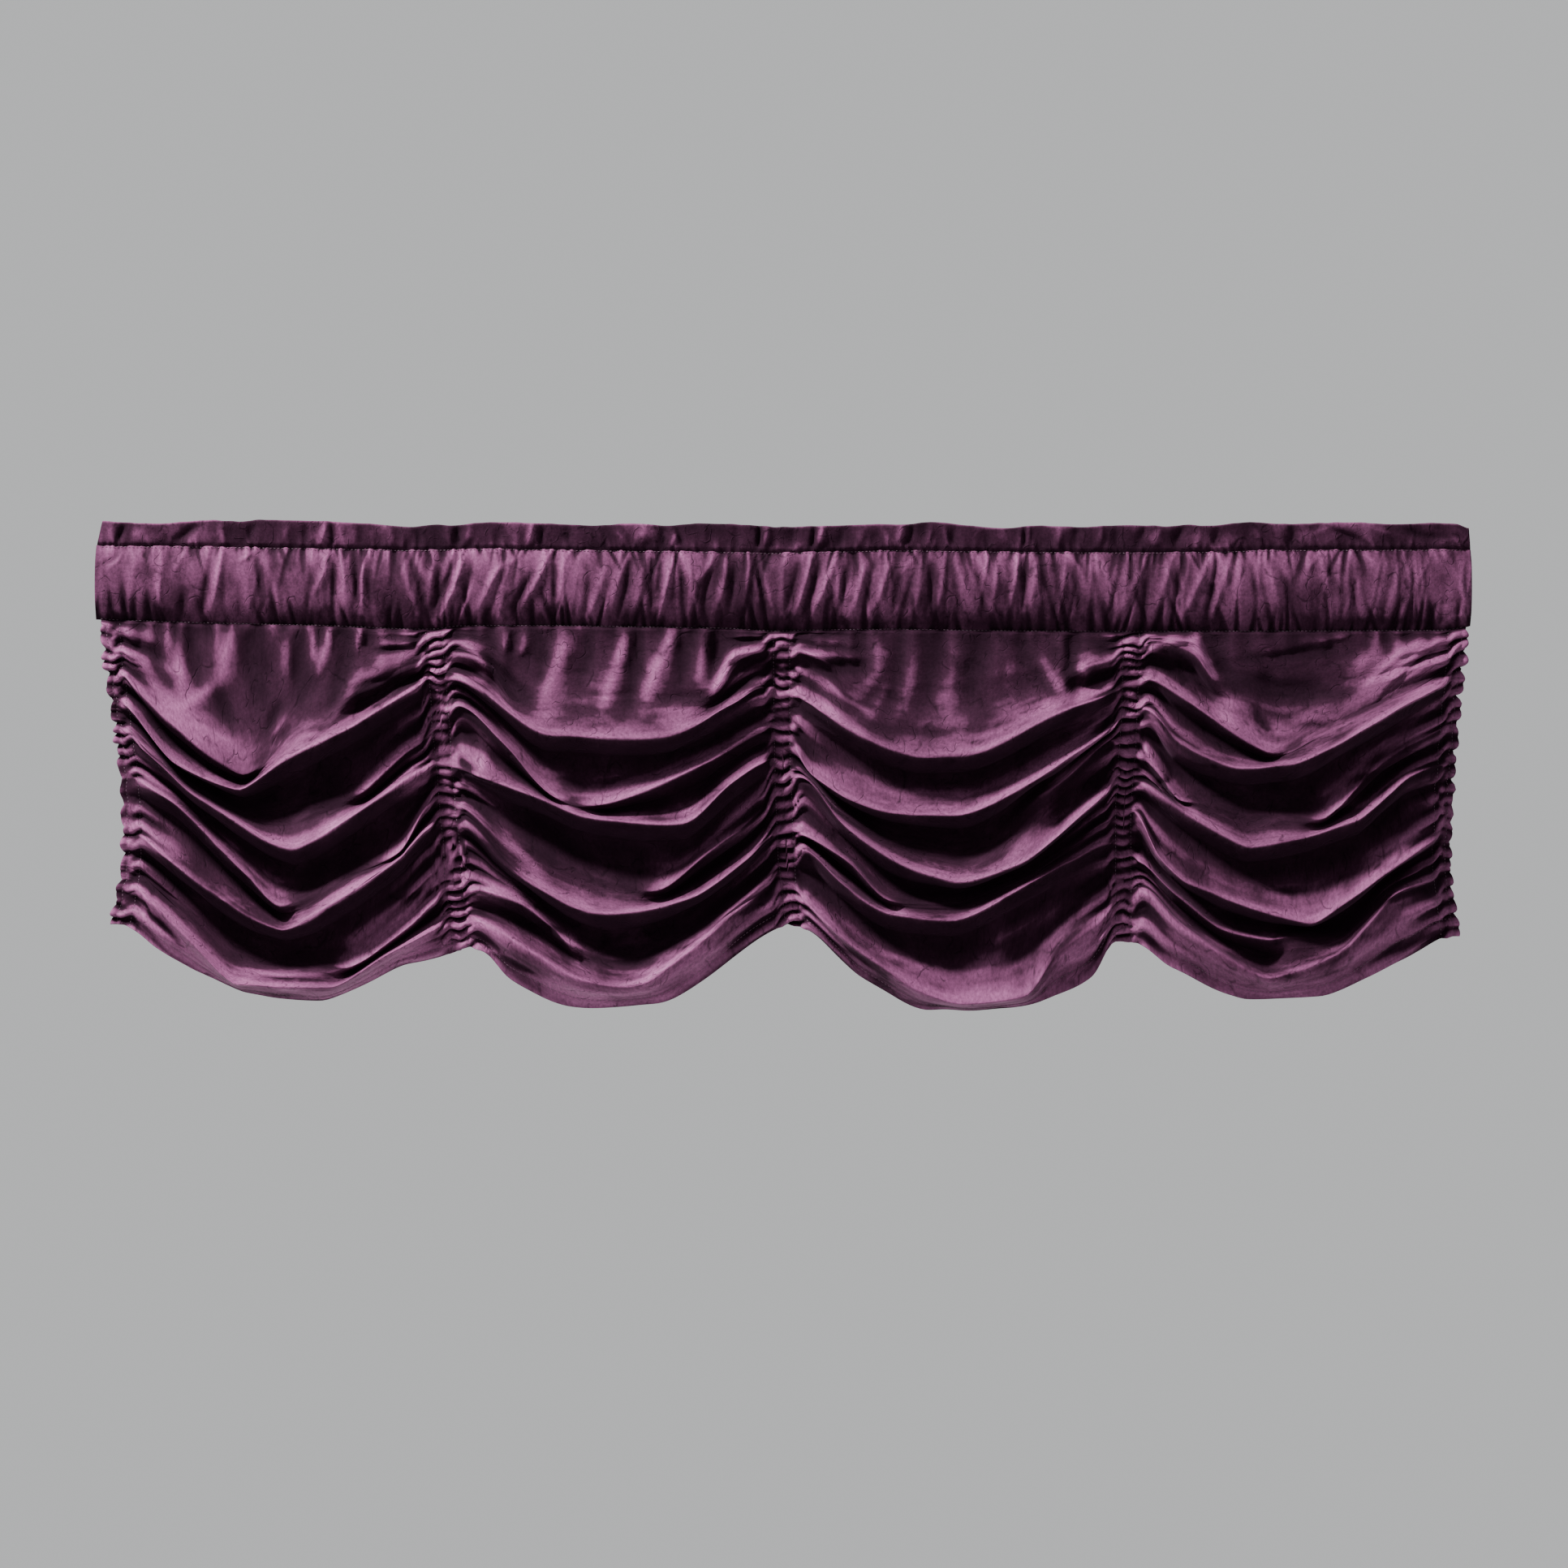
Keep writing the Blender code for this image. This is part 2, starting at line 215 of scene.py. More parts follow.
# The crest of each fold, from its height on the left gathered line, over its left
# flank, two places on the pouch and its right flank, to its height on the right line.
# depth is in millimetres. From goneFrom to goneTo across, the fold has run out.
Fold = namedtuple(
    "Fold",
    "left flankX flankY aX aY bX bY riseX riseY right depth goneFrom goneTo",
)
never = (0, 0)
swagFolds = [
    [
        Fold(822, 200, 880, 300, 955, 437, 854, 500, 822, 815, 22, 312, 430),
        Fold(862, 215, 938, 298, 974, 350, 940, 440, 893, 838, 36, *never),
        Fold(886, 230, 965, 330, 1000, 445, 978, 501, 926, 911, 22, 0, 440),
        Fold(905, 240, 978, 330, 1036, 366, 1048, 440, 1003, 938, 37, *never),
        Fold(958, 219, 992, 301, 1074, 347, 1118, 497, 1047, 985, 30, 352, 490),
        Fold(1028, 205, 1054, 260, 1098, 352, 1147, 490, 1060, 1014, 38, *never),
        Fold(1060, 240, 1120, 340, 1180, 430, 1194, 510, 1136, 1103, 26, 0, 425),
        Fold(1085, 240, 1160, 295, 1214, 415, 1216, 480, 1175, 1138, 36, *never),
    ],
    [
        Fold(800, 601, 820, 640, 870, 878, 858, 905, 822, 800, 18, 612, 872),
        Fold(826, 600, 855, 680, 906, 820, 909, 905, 867, 845, 36, *never),
        Fold(862, 613, 907, 678, 977, 733, 993, 874, 939, 900, 28, 684, 728),
        Fold(945, 640, 972, 745, 1011, 845, 1014, 900, 966, 936, 37, *never),
        Fold(972, 613, 1004, 672, 1070, 812, 1097, 874, 1050, 990, 27, 0, 806),
        Fold(1003, 628, 1066, 745, 1127, 858, 1103, 927, 1054, 1028, 38, *never),
        Fold(1092, 646, 1113, 704, 1160, 800, 1190, 890, 1115, 1055, 25, 712, 2000),
        Fold(1126, 655, 1171, 715, 1204, 790, 1214, 829, 1188, 1078, 37, *never),
    ],
    [
        Fold(800, 1010, 812, 1060, 850, 1250, 862, 1332, 822, 809, 18, 1016, 1328),
        Fold(856, 1050, 900, 1131, 933, 1190, 931, 1300, 880, 852, 38, *never),
        Fold(915, 997, 950, 1098, 1000, 1182, 1006, 1278, 959, 886, 36, *never),
        Fold(932, 1000, 968, 1120, 1030, 1290, 975, 1350, 925, 910, 20, 0, 1295),
        Fold(950, 1033, 1008, 1098, 1057, 1177, 1087, 1262, 1061, 962, 38, *never),
        Fold(1021, 1049, 1064, 1092, 1108, 1180, 1120, 1300, 1052, 1005, 30, 1097, 2000),
        Fold(1041, 1033, 1083, 1092, 1123, 1179, 1133, 1278, 1083, 1034, 36, *never),
        Fold(1103, 1066, 1175, 1175, 1235, 1265, 1225, 1305, 1165, 1120, 34, *never),
    ],
    [
        Fold(790, 1473, 803, 1496, 838, 1600, 830, 1700, 800, 790, 16, 1502, 2000),
        Fold(832, 1453, 855, 1564, 927, 1640, 890, 1720, 850, 812, 24, 1572, 2000),
        Fold(868, 1447, 913, 1520, 945, 1590, 942, 1698, 884, 836, 38, *never),
        Fold(930, 1430, 955, 1452, 986, 1631, 1008, 1698, 940, 893, 26, 1458, 1625),
        Fold(962, 1453, 995, 1535, 1043, 1674, 1009, 1731, 959, 943, 36, *never),
        Fold(995, 1425, 1050, 1460, 1084, 1617, 1137, 1682, 1093, 1025, 36, *never),
        Fold(1056, 1447, 1100, 1502, 1142, 1566, 1156, 1690, 1120, 1060, 28, 1574, 2000),
        Fold(1087, 1453, 1139, 1561, 1205, 1659, 1169, 1715, 1105, 1084, 36, *never),
    ],
]
Hem = namedtuple("Hem", "left flankX flankY aX aY bX bY riseX riseY right")
hemLine = [
    Hem(1138, 190, 1165, 300, 1224, 400, 1234, 500, 1190, 1177),
    Hem(1163, 626, 1204, 700, 1240, 809, 1237, 891, 1191, 1139),
    Hem(1141, 1059, 1201, 1144, 1244, 1246, 1241, 1350, 1200, 1158),
    Hem(1161, 1443, 1190, 1535, 1231, 1633, 1227, 1731, 1183, 1153),
]

panel = {
    "top": -0.0743,
    "seamDepth": 0.0028,
    "seamTuck": ((0.0000, -0.0726), (0.0009, -0.0736)),  # depth and height
    "columnDepth": 0.0065,
    "hemDepth": 0.014,
    "deeper": 1.20,
    "fullFrom": 0.005,
    "fullOver": 0.030,
    "goneSoft": 40,
    "sinkOver": 100,
    "pointed": (0.55, 0.20, 0.30, 0.52),
    "seamRows": 30,
    "faceRows": 10,
    "slopeRows": 12,
    "hemRows": ((0.0, 0.044, 20), (0.880, 0.012, 11)),  # start, step and count
    "lineSteps": ((12, 0.0012), (12, 0.0018), (15, 0.0030)),  # count and step
    "middleLines": 15,
    "pouchFlare": 1.3,
    "faceShare": 0.36,
    "faceTall": 0.016,
    "valleyFloor": 0.30,
    "slopeFlare": 2.2,
    "edgeLight": 0.0013,
    "cloth": 0.0016,  # its thickness
    "liftDrop": 0.3,
    "swagPaintedLightRows": (0.0, 1.0, 2.5, 6.0, 9.0),  # crests down the cloth, for the painted light level of each swag
    "swagPaintedLight": (
        (0.92, 0.90, 1.08, 1.14, 1.17),
        (1.00, 0.98, 1.05, 1.08, 1.08),
        (0.66, 0.76, 1.00, 1.02, 0.90),
        (0.96, 1.08, 1.08, 0.86, 0.72),
    ),
}


# A smooth curve through the points, which hardly swings past them.
def curveThrough(xs, ys, at):
    xs, ys = np.array(xs, float), np.array(ys, float)
    step = np.diff(xs)
    rise = np.diff(ys) / step
    slope = np.concatenate([[rise[0]], (rise[:-1] + rise[1:]) / 2, [rise[-1]]])
    limit = 2.2 * np.minimum(np.abs(rise[:-1]), np.abs(rise[1:]))
    turning = rise[:-1] * rise[1:] <= 0
    inner = np.clip(slope[1:-1], -limit, limit)
    slope[1:-1] = np.where(turning, 0.45 * slope[1:-1], inner)
    k = np.clip(np.searchsorted(xs, at) - 1, 0, len(step) - 1)
    f = np.clip((at - xs[k]) / step[k], 0.0, 1.0)
    low, high = ys[k], ys[k + 1]
    curve = (2 * f**3 - 3 * f**2 + 1) * low + (3 * f**2 - 2 * f**3) * high
    return curve + step[k] * ((f**3 - 2 * f**2 + f) * slope[k] + (f**3 - f**2) * slope[k + 1])


# How a crest turns into a gathered line, and how it is softened, in grid steps.
crest = {"turn": 27, "hook": 0.16, "margin": 60, "softReach": 24, "softWide": 6.0}


def crestLine(fold, leftLine, rightLine, leftY, rightY, across, pointed):
    left = np.interp(leftY, lineHeights, leftLine)
    right = np.interp(rightY, lineHeights, rightLine)
    gx = left + across * (right - left)
    leftTurn = min(crest["turn"], 0.5 * (fold.flankX - left))
    rightTurn = min(crest["turn"], 0.5 * (right - fold.riseX))
    xs = [left, left + leftTurn / 3, left + leftTurn, fold.flankX, fold.aX, fold.bX, fold.riseX]
    xs = xs + [right - rightTurn, right - rightTurn / 3, right]
    fromTop = fold.left + crest["hook"] * max(fold.flankY - fold.left, 0)
    toTop = fold.right + crest["hook"] * max(fold.riseY - fold.right, 0)
    ys = [leftY, 0.5 * (fold.left + leftY), fromTop, fold.flankY, fold.aY, fold.bY, fold.riseY]
    ys = ys + [toTop, 0.5 * (fold.right + rightY), rightY]
    fine = np.arange(left - crest["margin"], right + crest["margin"], 1.0)
    level = (1 - pointed) * curveThrough(xs, ys, fine) + pointed * np.interp(fine, xs, ys)
    reach = np.arange(-crest["softReach"], crest["softReach"] + 1)
    weights = hump(reach, crest["softWide"])
    padded = np.pad(level, crest["softReach"], mode="edge")
    soft = np.convolve(padded, weights / weights.sum(), mode="valid")
    return gx, np.interp(gx, fine, soft)


# The crests of one swag, top to bottom, and its hem, at each line across. shut is how
# far a fold has closed, and sunk how far it lies back on the pouch below.
def foldRows(index, across):
    leftLine, rightLine = gatherLines[index], gatherLines[index + 1]
    folds = swagFolds[index] + [hemLine[index]]
    before = swagFolds[index - 1] + [hemLine[index - 1]] if index > 0 else folds
    after = swagFolds[index + 1] + [hemLine[index + 1]] if index < 3 else folds
    column, soft, over = panel["columnDepth"], panel["goneSoft"], panel["sinkOver"]
    rows = []
    for k, fold in enumerate(folds):
        leftY = fold.left if index == 0 else (fold.left + before[k].right) / 2
        rightY = fold.right if index == 3 else (fold.right + after[k].left) / 2
        pointed = panel["pointed"][index]
        gx, gy = crestLine(fold, leftLine, rightLine, leftY, rightY, across, pointed)
        width = (gx[-1] - gx[0]) * layout["step"]
        nearLeft = np.maximum(across * width - panel["fullFrom"], 0.0)
        nearRight = np.maximum((1 - across) * width - panel["fullFrom"], 0.0)
        fullness = 1 - hump(nearLeft, panel["fullOver"], 1)
        fullness = fullness * (1 - hump(nearRight, panel["fullOver"], 1))
        if k < len(folds) - 1:
            depth = column + (panel["deeper"] * fold.depth / 1000 - column) * fullness
            shut = smooth((gx - fold.goneFrom) / soft + 0.4)
            shut = shut * smooth((fold.goneTo - gx) / soft + 0.4)
            sunk = smooth((gx - fold.goneFrom) / over) * smooth((fold.goneTo - gx) / over)
        else:
            depth = column + (panel["hemDepth"] - column) * fullness
            shut = sunk = np.zeros_like(gx)
        x = (gx - layout["middleX"]) * layout["step"]
        rows.append({"x": x, "z": heightOf(gx, gy), "depth": depth, "shut": shut, "sunk": sunk})
    return rows


# Creases pressed into the swags or raised on them, each a soft curve through three
# grid places. high and wide are in millimetres, and a trough has a negative high.
Crease = namedtuple("Crease", "fromX fromY midX midY toX toY high wide")
swagCreases = [
    # first swag
    Crease(283, 772, 280, 802, 272, 842, 5.0, 8.0),
    Crease(303, 775, 306, 815, 322, 862, -4.0, 7.5),
    Crease(345, 772, 349, 800, 352, 836, 4.0, 6.5),
    Crease(363, 776, 366, 815, 372, 872, -4.5, 7.0),
    Crease(379, 768, 384, 792, 391, 830, 4.5, 3.2),
    Crease(405, 768, 401, 792, 393, 828, 4.5, 3.2),
    Crease(430, 772, 424, 815, 408, 870, -4.0, 7.0),
    Crease(443, 768, 441, 782, 437, 800, 4.0, 3.2),
    Crease(240, 772, 236, 810, 246, 856, -3.5, 7.0),
    Crease(205, 772, 214, 806, 232, 846, 3.2, 7.5),
    Crease(180, 790, 192, 822, 214, 850, -2.8, 6.5),
    Crease(259, 842, 246, 858, 228, 872, 3.4, 5.5),
    Crease(268, 846, 276, 874, 290, 900, -3.2, 6.5),
    Crease(343, 868, 336, 884, 327, 902, -3.4, 4.0),
    Crease(352, 882, 344, 894, 336, 908, 2.4, 4.0),
    Crease(466, 790, 490, 791, 524, 787, 4.0, 4.0),
    Crease(462, 800, 492, 800, 520, 797, -4.0, 4.0),
    Crease(437, 850, 480, 838, 522, 830, -3.6, 4.6),
    Crease(508, 843, 525, 846, 540, 846, -3.0, 2.6),
    Crease(508, 948, 512, 936, 540, 931, 2.6, 2.6),
    Crease(490, 985, 508, 976, 532, 968, 2.2, 3.6),
    Crease(490, 1096, 512, 1090, 538, 1070, 2.6, 4.2),
    Crease(486, 1108, 512, 1104, 540, 1090, -2.4, 3.6),
    Crease(170, 880, 205, 906, 238, 934, -3.4, 4.4),
    Crease(182, 872, 220, 902, 262, 938, 2.2, 4.0),
    Crease(170, 1020, 196, 1046, 222, 1056, 2.4, 3.6),
    Crease(160, 1125, 190, 1146, 213, 1172, 3.0, 3.0),
    Crease(168, 1120, 198, 1140, 226, 1166, -2.6, 3.0),
    Crease(300, 1192, 360, 1199, 432, 1196, 2.4, 4.0),
    Crease(300, 1206, 352, 1208, 408, 1208, -1.8, 3.0),
    # second swag
    Crease(588, 800, 620, 838, 652, 866, -6.5, 7.0),
    Crease(574, 796, 594, 812, 600, 836, 4.4, 5.0),
    Crease(625, 772, 624, 784, 620, 800, 4.2, 3.4),
    Crease(646, 772, 645, 790, 638, 806, 4.4, 4.0),
    Crease(664, 776, 668, 808, 662, 850, -3.6, 5.5),
    Crease(704, 774, 688, 812, 668, 866, 3.8, 9.0),
    Crease(716, 780, 722, 810, 712, 850, -2.6, 6.0),
    Crease(774, 774, 762, 812, 744, 872, 4.8, 6.0),
    Crease(784, 776, 782, 820, 770, 884, -4.4, 7.0),
    Crease(832, 774, 816, 808, 798, 860, 4.8, 6.0),
    Crease(850, 778, 842, 810, 836, 846, -3.0, 6.0),
    Crease(808, 862, 838, 862, 876, 856, -2.2, 7.0),
    Crease(866, 776, 864, 800, 862, 838, 2.8, 5.0),
    Crease(884, 774, 884, 800, 874, 836, -4.4, 6.0),
    Crease(908, 800, 896, 816, 880, 850, 3.2, 4.0),
    Crease(900, 836, 926, 820, 956, 818, -3.4, 4.4),
    Crease(556, 826, 580, 836, 602, 836, 3.2, 5.0),
    Crease(582, 905, 598, 925, 592, 950, 4.0, 6.0),
    Crease(562, 922, 572, 942, 584, 950, -3.4, 3.0),
    Crease(612, 1012, 640, 1046, 676, 1084, 3.6, 6.0),
    Crease(600, 1026, 616, 1054, 640, 1072, -2.6, 5.0),
    Crease(640, 990, 690, 1030, 730, 1062, -3.0, 7.0),
    Crease(830, 1097, 868, 1070, 906, 1046, -4.0, 4.4),
    Crease(690, 1150, 704, 1164, 713, 1188, 3.0, 4.4),
    Crease(622, 1124, 660, 1140, 694, 1148, -3.0, 4.4),
    Crease(604, 1094, 636, 1108, 690, 1142, 2.4, 4.0),
    Crease(730, 1182, 780, 1187, 832, 1182, -1.6, 2.4),
    Crease(734, 1190, 780, 1197, 824, 1192, 1.6, 2.6),
    Crease(612, 1176, 662, 1200, 722, 1221, -2.2, 3.0),
    Crease(648, 1196, 690, 1212, 740, 1224, 2.2, 3.6),
    Crease(900, 1168, 922, 1150, 944, 1126, -2.2, 3.6),
    Crease(908, 782, 932, 783, 957, 786, 3.0, 2.8),
    Crease(900, 790, 930, 791, 957, 794, -3.4, 2.8),
    Crease(902, 806, 930, 801, 957, 803, 3.4, 3.2),
    Crease(888, 822, 918, 814, 955, 813, -3.2, 3.2),
    Crease(880, 852, 905, 834, 946, 824, 3.6, 4.0),
    Crease(893, 858, 918, 846, 950, 838, -3.2, 3.2),
    # third swag
    Crease(971, 786, 1002, 787, 1042, 790, 3.2, 2.8),
    Crease(971, 796, 1010, 797, 1056, 800, -3.2, 3.0),
    Crease(971, 806, 1012, 806, 1062, 810, 3.0, 3.4),
    Crease(971, 818, 996, 822, 1030, 832, -3.4, 3.2),
    Crease(971, 830, 994, 838, 1020, 852, 3.0, 3.2),
    Crease(1004, 790, 1020, 796, 1050, 800, 3.6, 6.0),
    Crease(1016, 812, 1040, 822, 1062, 820, -5.0, 6.0),
    Crease(1072, 774, 1084, 808, 1066, 852, 2.6, 6.3),
    Crease(1062, 866, 1084, 846, 1098, 800, -1.9, 5.1),
    Crease(1096, 778, 1090, 836, 1072, 884, 2.1, 5.1),
    Crease(1110, 780, 1106, 830, 1094, 870, -1.9, 5.1),
    Crease(1128, 776, 1122, 836, 1104, 886, 2.3, 6.3),
    Crease(1150, 778, 1146, 824, 1140, 872, -2.0, 6.9),
    Crease(1180, 774, 1172, 826, 1166, 880, 2.2, 9.2),
    Crease(1204, 778, 1198, 826, 1196, 876, -1.9, 6.9),
    Crease(1229, 774, 1228, 806, 1222, 850, 1.9, 6.9),
    Crease(1246, 774, 1244, 812, 1246, 856, 1.9, 5.1),
    Crease(1260, 778, 1274, 826, 1304, 862, -2.3, 5.8),
    Crease(1276, 776, 1290, 820, 1314, 852, 2.1, 5.1),
    Crease(1303, 774, 1310, 796, 1314, 822, 2.0, 4.6),
    Crease(1320, 780, 1318, 822, 1320, 850, -5.0, 5.0),
    Crease(1333, 820, 1338, 842, 1330, 862, 4.8, 5.0),
    Crease(1336, 848, 1348, 836, 1376, 824, -4.4, 4.4),
    Crease(1060, 888, 1150, 902, 1290, 884, -1.4, 5.0),
    Crease(1020, 842, 1052, 862, 1084, 892, 2.0, 4.0),
    Crease(998, 946, 1018, 952, 1050, 970, 1.8, 5.0),
    Crease(1321, 894, 1347, 871, 1376, 855, 3.2, 4.0),
    Crease(1296, 962, 1324, 944, 1358, 918, 2.4, 5.0),
    Crease(1110, 974, 1166, 980, 1216, 976, 1.6, 3.6),
    Crease(1213, 1155, 1264, 1140, 1337, 1087, 3.4, 5.0),
    Crease(1240, 1168, 1296, 1140, 1366, 1086, -3.0, 4.4),
    Crease(1304, 1184, 1338, 1162, 1372, 1134, 3.6, 4.4),
    Crease(1290, 1190, 1310, 1162, 1346, 1136, -2.6, 3.6),
    Crease(1006, 1122, 1020, 1134, 1036, 1146, 3.0, 4.4),
    Crease(1012, 1150, 1060, 1180, 1120, 1212, -2.0, 3.6),
    Crease(1194, 1196, 1230, 1192, 1264, 1186, 1.8, 3.6),
    # fourth swag
    Crease(1396, 797, 1440, 790, 1476, 786, 4.4, 4.4),
    Crease(1474, 782, 1480, 802, 1494, 832, 4.2, 4.0),
    Crease(1410, 808, 1446, 806, 1480, 834, -5.0, 5.5),
    Crease(1500, 780, 1502, 808, 1520, 846, -3.8, 7.0),
    Crease(1560, 784, 1564, 800, 1566, 816, 2.8, 7.0),
    Crease(1530, 812, 1590, 806, 1640, 800, -3.0, 4.4),
    Crease(1508, 836, 1586, 850, 1664, 858, -3.4, 10.0),
    Crease(1778, 800, 1688, 868, 1572, 920, 4.6, 17.0),
    Crease(1600, 790, 1640, 786, 1664, 780, 2.4, 4.0),
    Crease(1792, 776, 1744, 808, 1694, 858, 4.2, 5.0),
    Crease(1772, 778, 1724, 806, 1680, 850, 3.4, 5.0),
    Crease(1780, 792, 1738, 822, 1686, 876, -2.8, 3.0),
    Crease(1794, 796, 1756, 836, 1708, 870, 2.4, 4.0),
    Crease(1700, 776, 1690, 800, 1676, 830, 2.0, 6.0),
    Crease(1590, 896, 1616, 892, 1650, 896, -2.0, 3.0),
    Crease(1548, 872, 1554, 892, 1572, 906, -3.0, 4.0),
    Crease(1410, 836, 1450, 852, 1520, 902, 2.4, 4.0),
    Crease(1406, 866, 1424, 880, 1444, 900, 2.4, 3.6),
    Crease(1662, 933, 1698, 917, 1770, 872, 3.2, 5.0),
    Crease(1674, 950, 1720, 936, 1772, 906, 2.6, 3.6),
    Crease(1664, 962, 1708, 948, 1764, 918, -3.2, 3.6),
    Crease(1636, 992, 1660, 990, 1696, 988, 2.0, 4.0),
    Crease(1424, 966, 1438, 962, 1444, 950, -2.6, 3.0),
    Crease(1400, 936, 1426, 960, 1436, 974, 2.6, 4.0),
    Crease(1682, 1010, 1720, 996, 1768, 970, -2.4, 4.0),
    Crease(1690, 1052, 1730, 1030, 1768, 1000, 2.4, 4.0),
    Crease(1408, 1020, 1414, 1042, 1428, 1056, 3.0, 4.0),
    Crease(1704, 1100, 1732, 1082, 1776, 1066, 2.4, 3.6),
    Crease(1700, 1116, 1736, 1100, 1780, 1088, -2.6, 3.6),
    Crease(1652, 1190, 1706, 1152, 1782, 1108, 3.0, 4.4),
    Crease(1676, 1196, 1726, 1164, 1782, 1130, -3.0, 3.6),
    Crease(1690, 1200, 1738, 1172, 1790, 1142, 2.4, 4.0),
    Crease(1404, 1146, 1424, 1176, 1450, 1198, 3.0, 5.0),
    Crease(1404, 1172, 1420, 1186, 1452, 1208, -2.2, 3.6),
    Crease(1500, 1162, 1550, 1172, 1610, 1164, 1.8, 3.6),
]

# How a crease is drawn: places along its curve, how far it reaches in its own widths,
# how its ends taper and how flat its top is.
creaseShape = {"places": 25, "reach": 2.6, "ends": 0.06, "taper": 0.7, "flat": 0.8}


def creaseLift(table, x, z):
    gx = acrossOf(x)
    gy = levelAt(gx) - z / layout["step"]
    lift = np.zeros_like(x)
    s = np.linspace(0.0, 1.0, creaseShape["places"])
    ends = creaseShape["ends"]
    for crease in table:
        handleX = 2 * crease.midX - (crease.fromX + crease.toX) / 2
        handleY = 2 * crease.midY - (crease.fromY + crease.toY) / 2
        pathX = (1 - s) ** 2 * crease.fromX + 2 * s * (1 - s) * handleX + s**2 * crease.toX
        pathY = (1 - s) ** 2 * crease.fromY + 2 * s * (1 - s) * handleY + s**2 * crease.toY
        wide = crease.wide / 1000 / layout["step"]
        reach = creaseShape["reach"] * wide
        close = (gx > pathX.min() - reach) & (gx < pathX.max() + reach)
        close &= (gy > pathY.min() - reach) & (gy < pathY.max() + reach)
        px, py = gx[close], gy[close]
        if not len(px):
            continue
        away = (px[:, None] - pathX) ** 2 + (py[:, None] - pathY) ** 2
        nearest = away.argmin(axis=1)
        best = away[np.arange(len(px)), nearest]
        taper = np.sin(math.pi * (ends + (1 - 2 * ends) * s[nearest])) ** creaseShape["taper"]
        lift[close] += crease.high / 1000 * taper * hump(best, wide**2, creaseShape["flat"])
    return lift


# Slight wrinkles strewn over the swags, each lying much as the folds around it do.
loose = {
    "seed": 47,
    "count": 170,
    "across": (0.06, 0.94),
    "down": (800, 1205),
    "slope": 1.5,
    "levelAbove": 740,
    "steepOver": 120,
    "turned": 0.22,
    "half": (10, 34),
    "bow": 3.0,
    "high": (0.7, 1.7),
    "calmAbove": 900,
    "wide": (1.6, 3.4),
}


def looseCreases():
    rng = np.random.default_rng(loose["seed"])
    table = []
    for _ in range(loose["count"]):
        index = int(rng.integers(4))
        left, right = gatherLines[index].at1000, gatherLines[index + 1].at1000
        across, gy = rng.uniform(*loose["across"]), rng.uniform(*loose["down"])
        gx = left + across * (right - left)
        steep = min(1.0, (gy - loose["levelAbove"]) / loose["steepOver"])
        slope = loose["slope"] * (0.5 - across) * steep + rng.normal(0.0, loose["turned"])
        half, bow = rng.uniform(*loose["half"]), rng.normal(0.0, loose["bow"])
        high = rng.uniform(*loose["high"]) * rng.choice([-1.0, 1.0])
        high = high * (1.0 if gy > loose["calmAbove"] else 0.5)
        ends = (gx - half, gy - slope * half, gx, gy + bow, gx + half, gy + slope * half)
        table.append(Crease(*ends, high, rng.uniform(*loose["wide"])))
    return table


# Each band of cloth yields its rows: share of the way to the next crest, height, depth and painted
# light. The first band hangs from the seam to the first crest, its painted light rising towards
# the crest's painted highlight.
def seamBand(upper, lower, highlightAbove, highlightBelow):
    drop = upper["z"] - lower["z"]
    for step in range(panel["seamRows"]):
        f = (step / panel["seamRows"]) ** 1.5
        depth = upper["depth"] + f ** panel["pouchFlare"] * (lower["depth"] - upper["depth"])
        yield f, upper["z"] - f * drop, depth, highlightAbove + f**1.3 * (highlightBelow - highlightAbove)


# The last band hangs from the lowest crest to the hem, its rows closer at the hem, with a painted
# highlight at the crest's edge.
def hemBand(upper, lower, highlightAbove):
    drop = upper["z"] - lower["z"]
    for start, step, count in panel["hemRows"]:
        for f in start + step * np.arange(count):
            depth = upper["depth"] + smooth(f) * (lower["depth"] - upper["depth"])
            edge = highlightAbove * hump(f * drop, panel["edgeLight"], 1)
            yield f, upper["z"] - f * drop, depth, 0.78 + 0.22 * edge


# Between two crests the cloth rounds under the upper one into a valley, and slopes out of it on to
# the lower one. Its painted light is a painted highlight on the crests and painted shade in the
# valley.
def foldBand(upper, lower, highlightAbove, highlightBelow):
    topZ, drop = upper["z"], upper["z"] - lower["z"]
    shut, faceRows, slopeRows = upper["shut"], panel["faceRows"], panel["slopeRows"]
    tucked = np.minimum(panel["faceShare"] * drop, panel["faceTall"])
    valley = panel["valleyFloor"] * (upper["depth"] + lower["depth"]) / 2
    for step in range(faceRows + slopeRows):
        if step < faceRows:
            turn = (step / faceRows) ** 1.5 * math.pi / 2
            z = topZ - tucked * math.sin(turn)
            depth = valley + (upper["depth"] - valley) * max(math.cos(turn), 0.0) ** 1.8
            edge = hump(topZ - z, panel["edgeLight"], 1)
            paintedLightAndTone = highlightAbove * (0.84 * edge + 0.07 - 0.05 * math.sin(turn)) + 0.02
        else:
            share = 1 - (1 - (step - faceRows) / slopeRows) ** 1.5
            z = topZ - tucked - (drop - tucked) * share
            depth = valley + (lower["depth"] - valley) * share ** panel["slopeFlare"]
            paintedLighting = 0.40 * smooth((share - 0.18) / 0.38) + 0.16 * share**3 + 0.85 * share**13
            paintedLightAndTone = 0.07 + highlightBelow * paintedLighting
        f = (topZ - z) / drop
        plain = upper["depth"] + f * (lower["depth"] - upper["depth"])
        plainPaintedLight = highlightAbove + f**2 * (highlightBelow - highlightAbove)
        way = step / (faceRows + slopeRows)
        yield way, z, depth + shut * (plain - depth), paintedLightAndTone + shut * (plainPaintedLight - paintedLightAndTone)


def bandRows(k, last, upper, lower, crestHighlight):
    if k == 0:
        return seamBand(upper, lower, crestHighlight[0], crestHighlight[1])
    if k == last - 1:
        return hemBand(upper, lower, crestHighlight[k])
    return foldBand(upper, lower, crestHighlight[k], crestHighlight[k + 1])


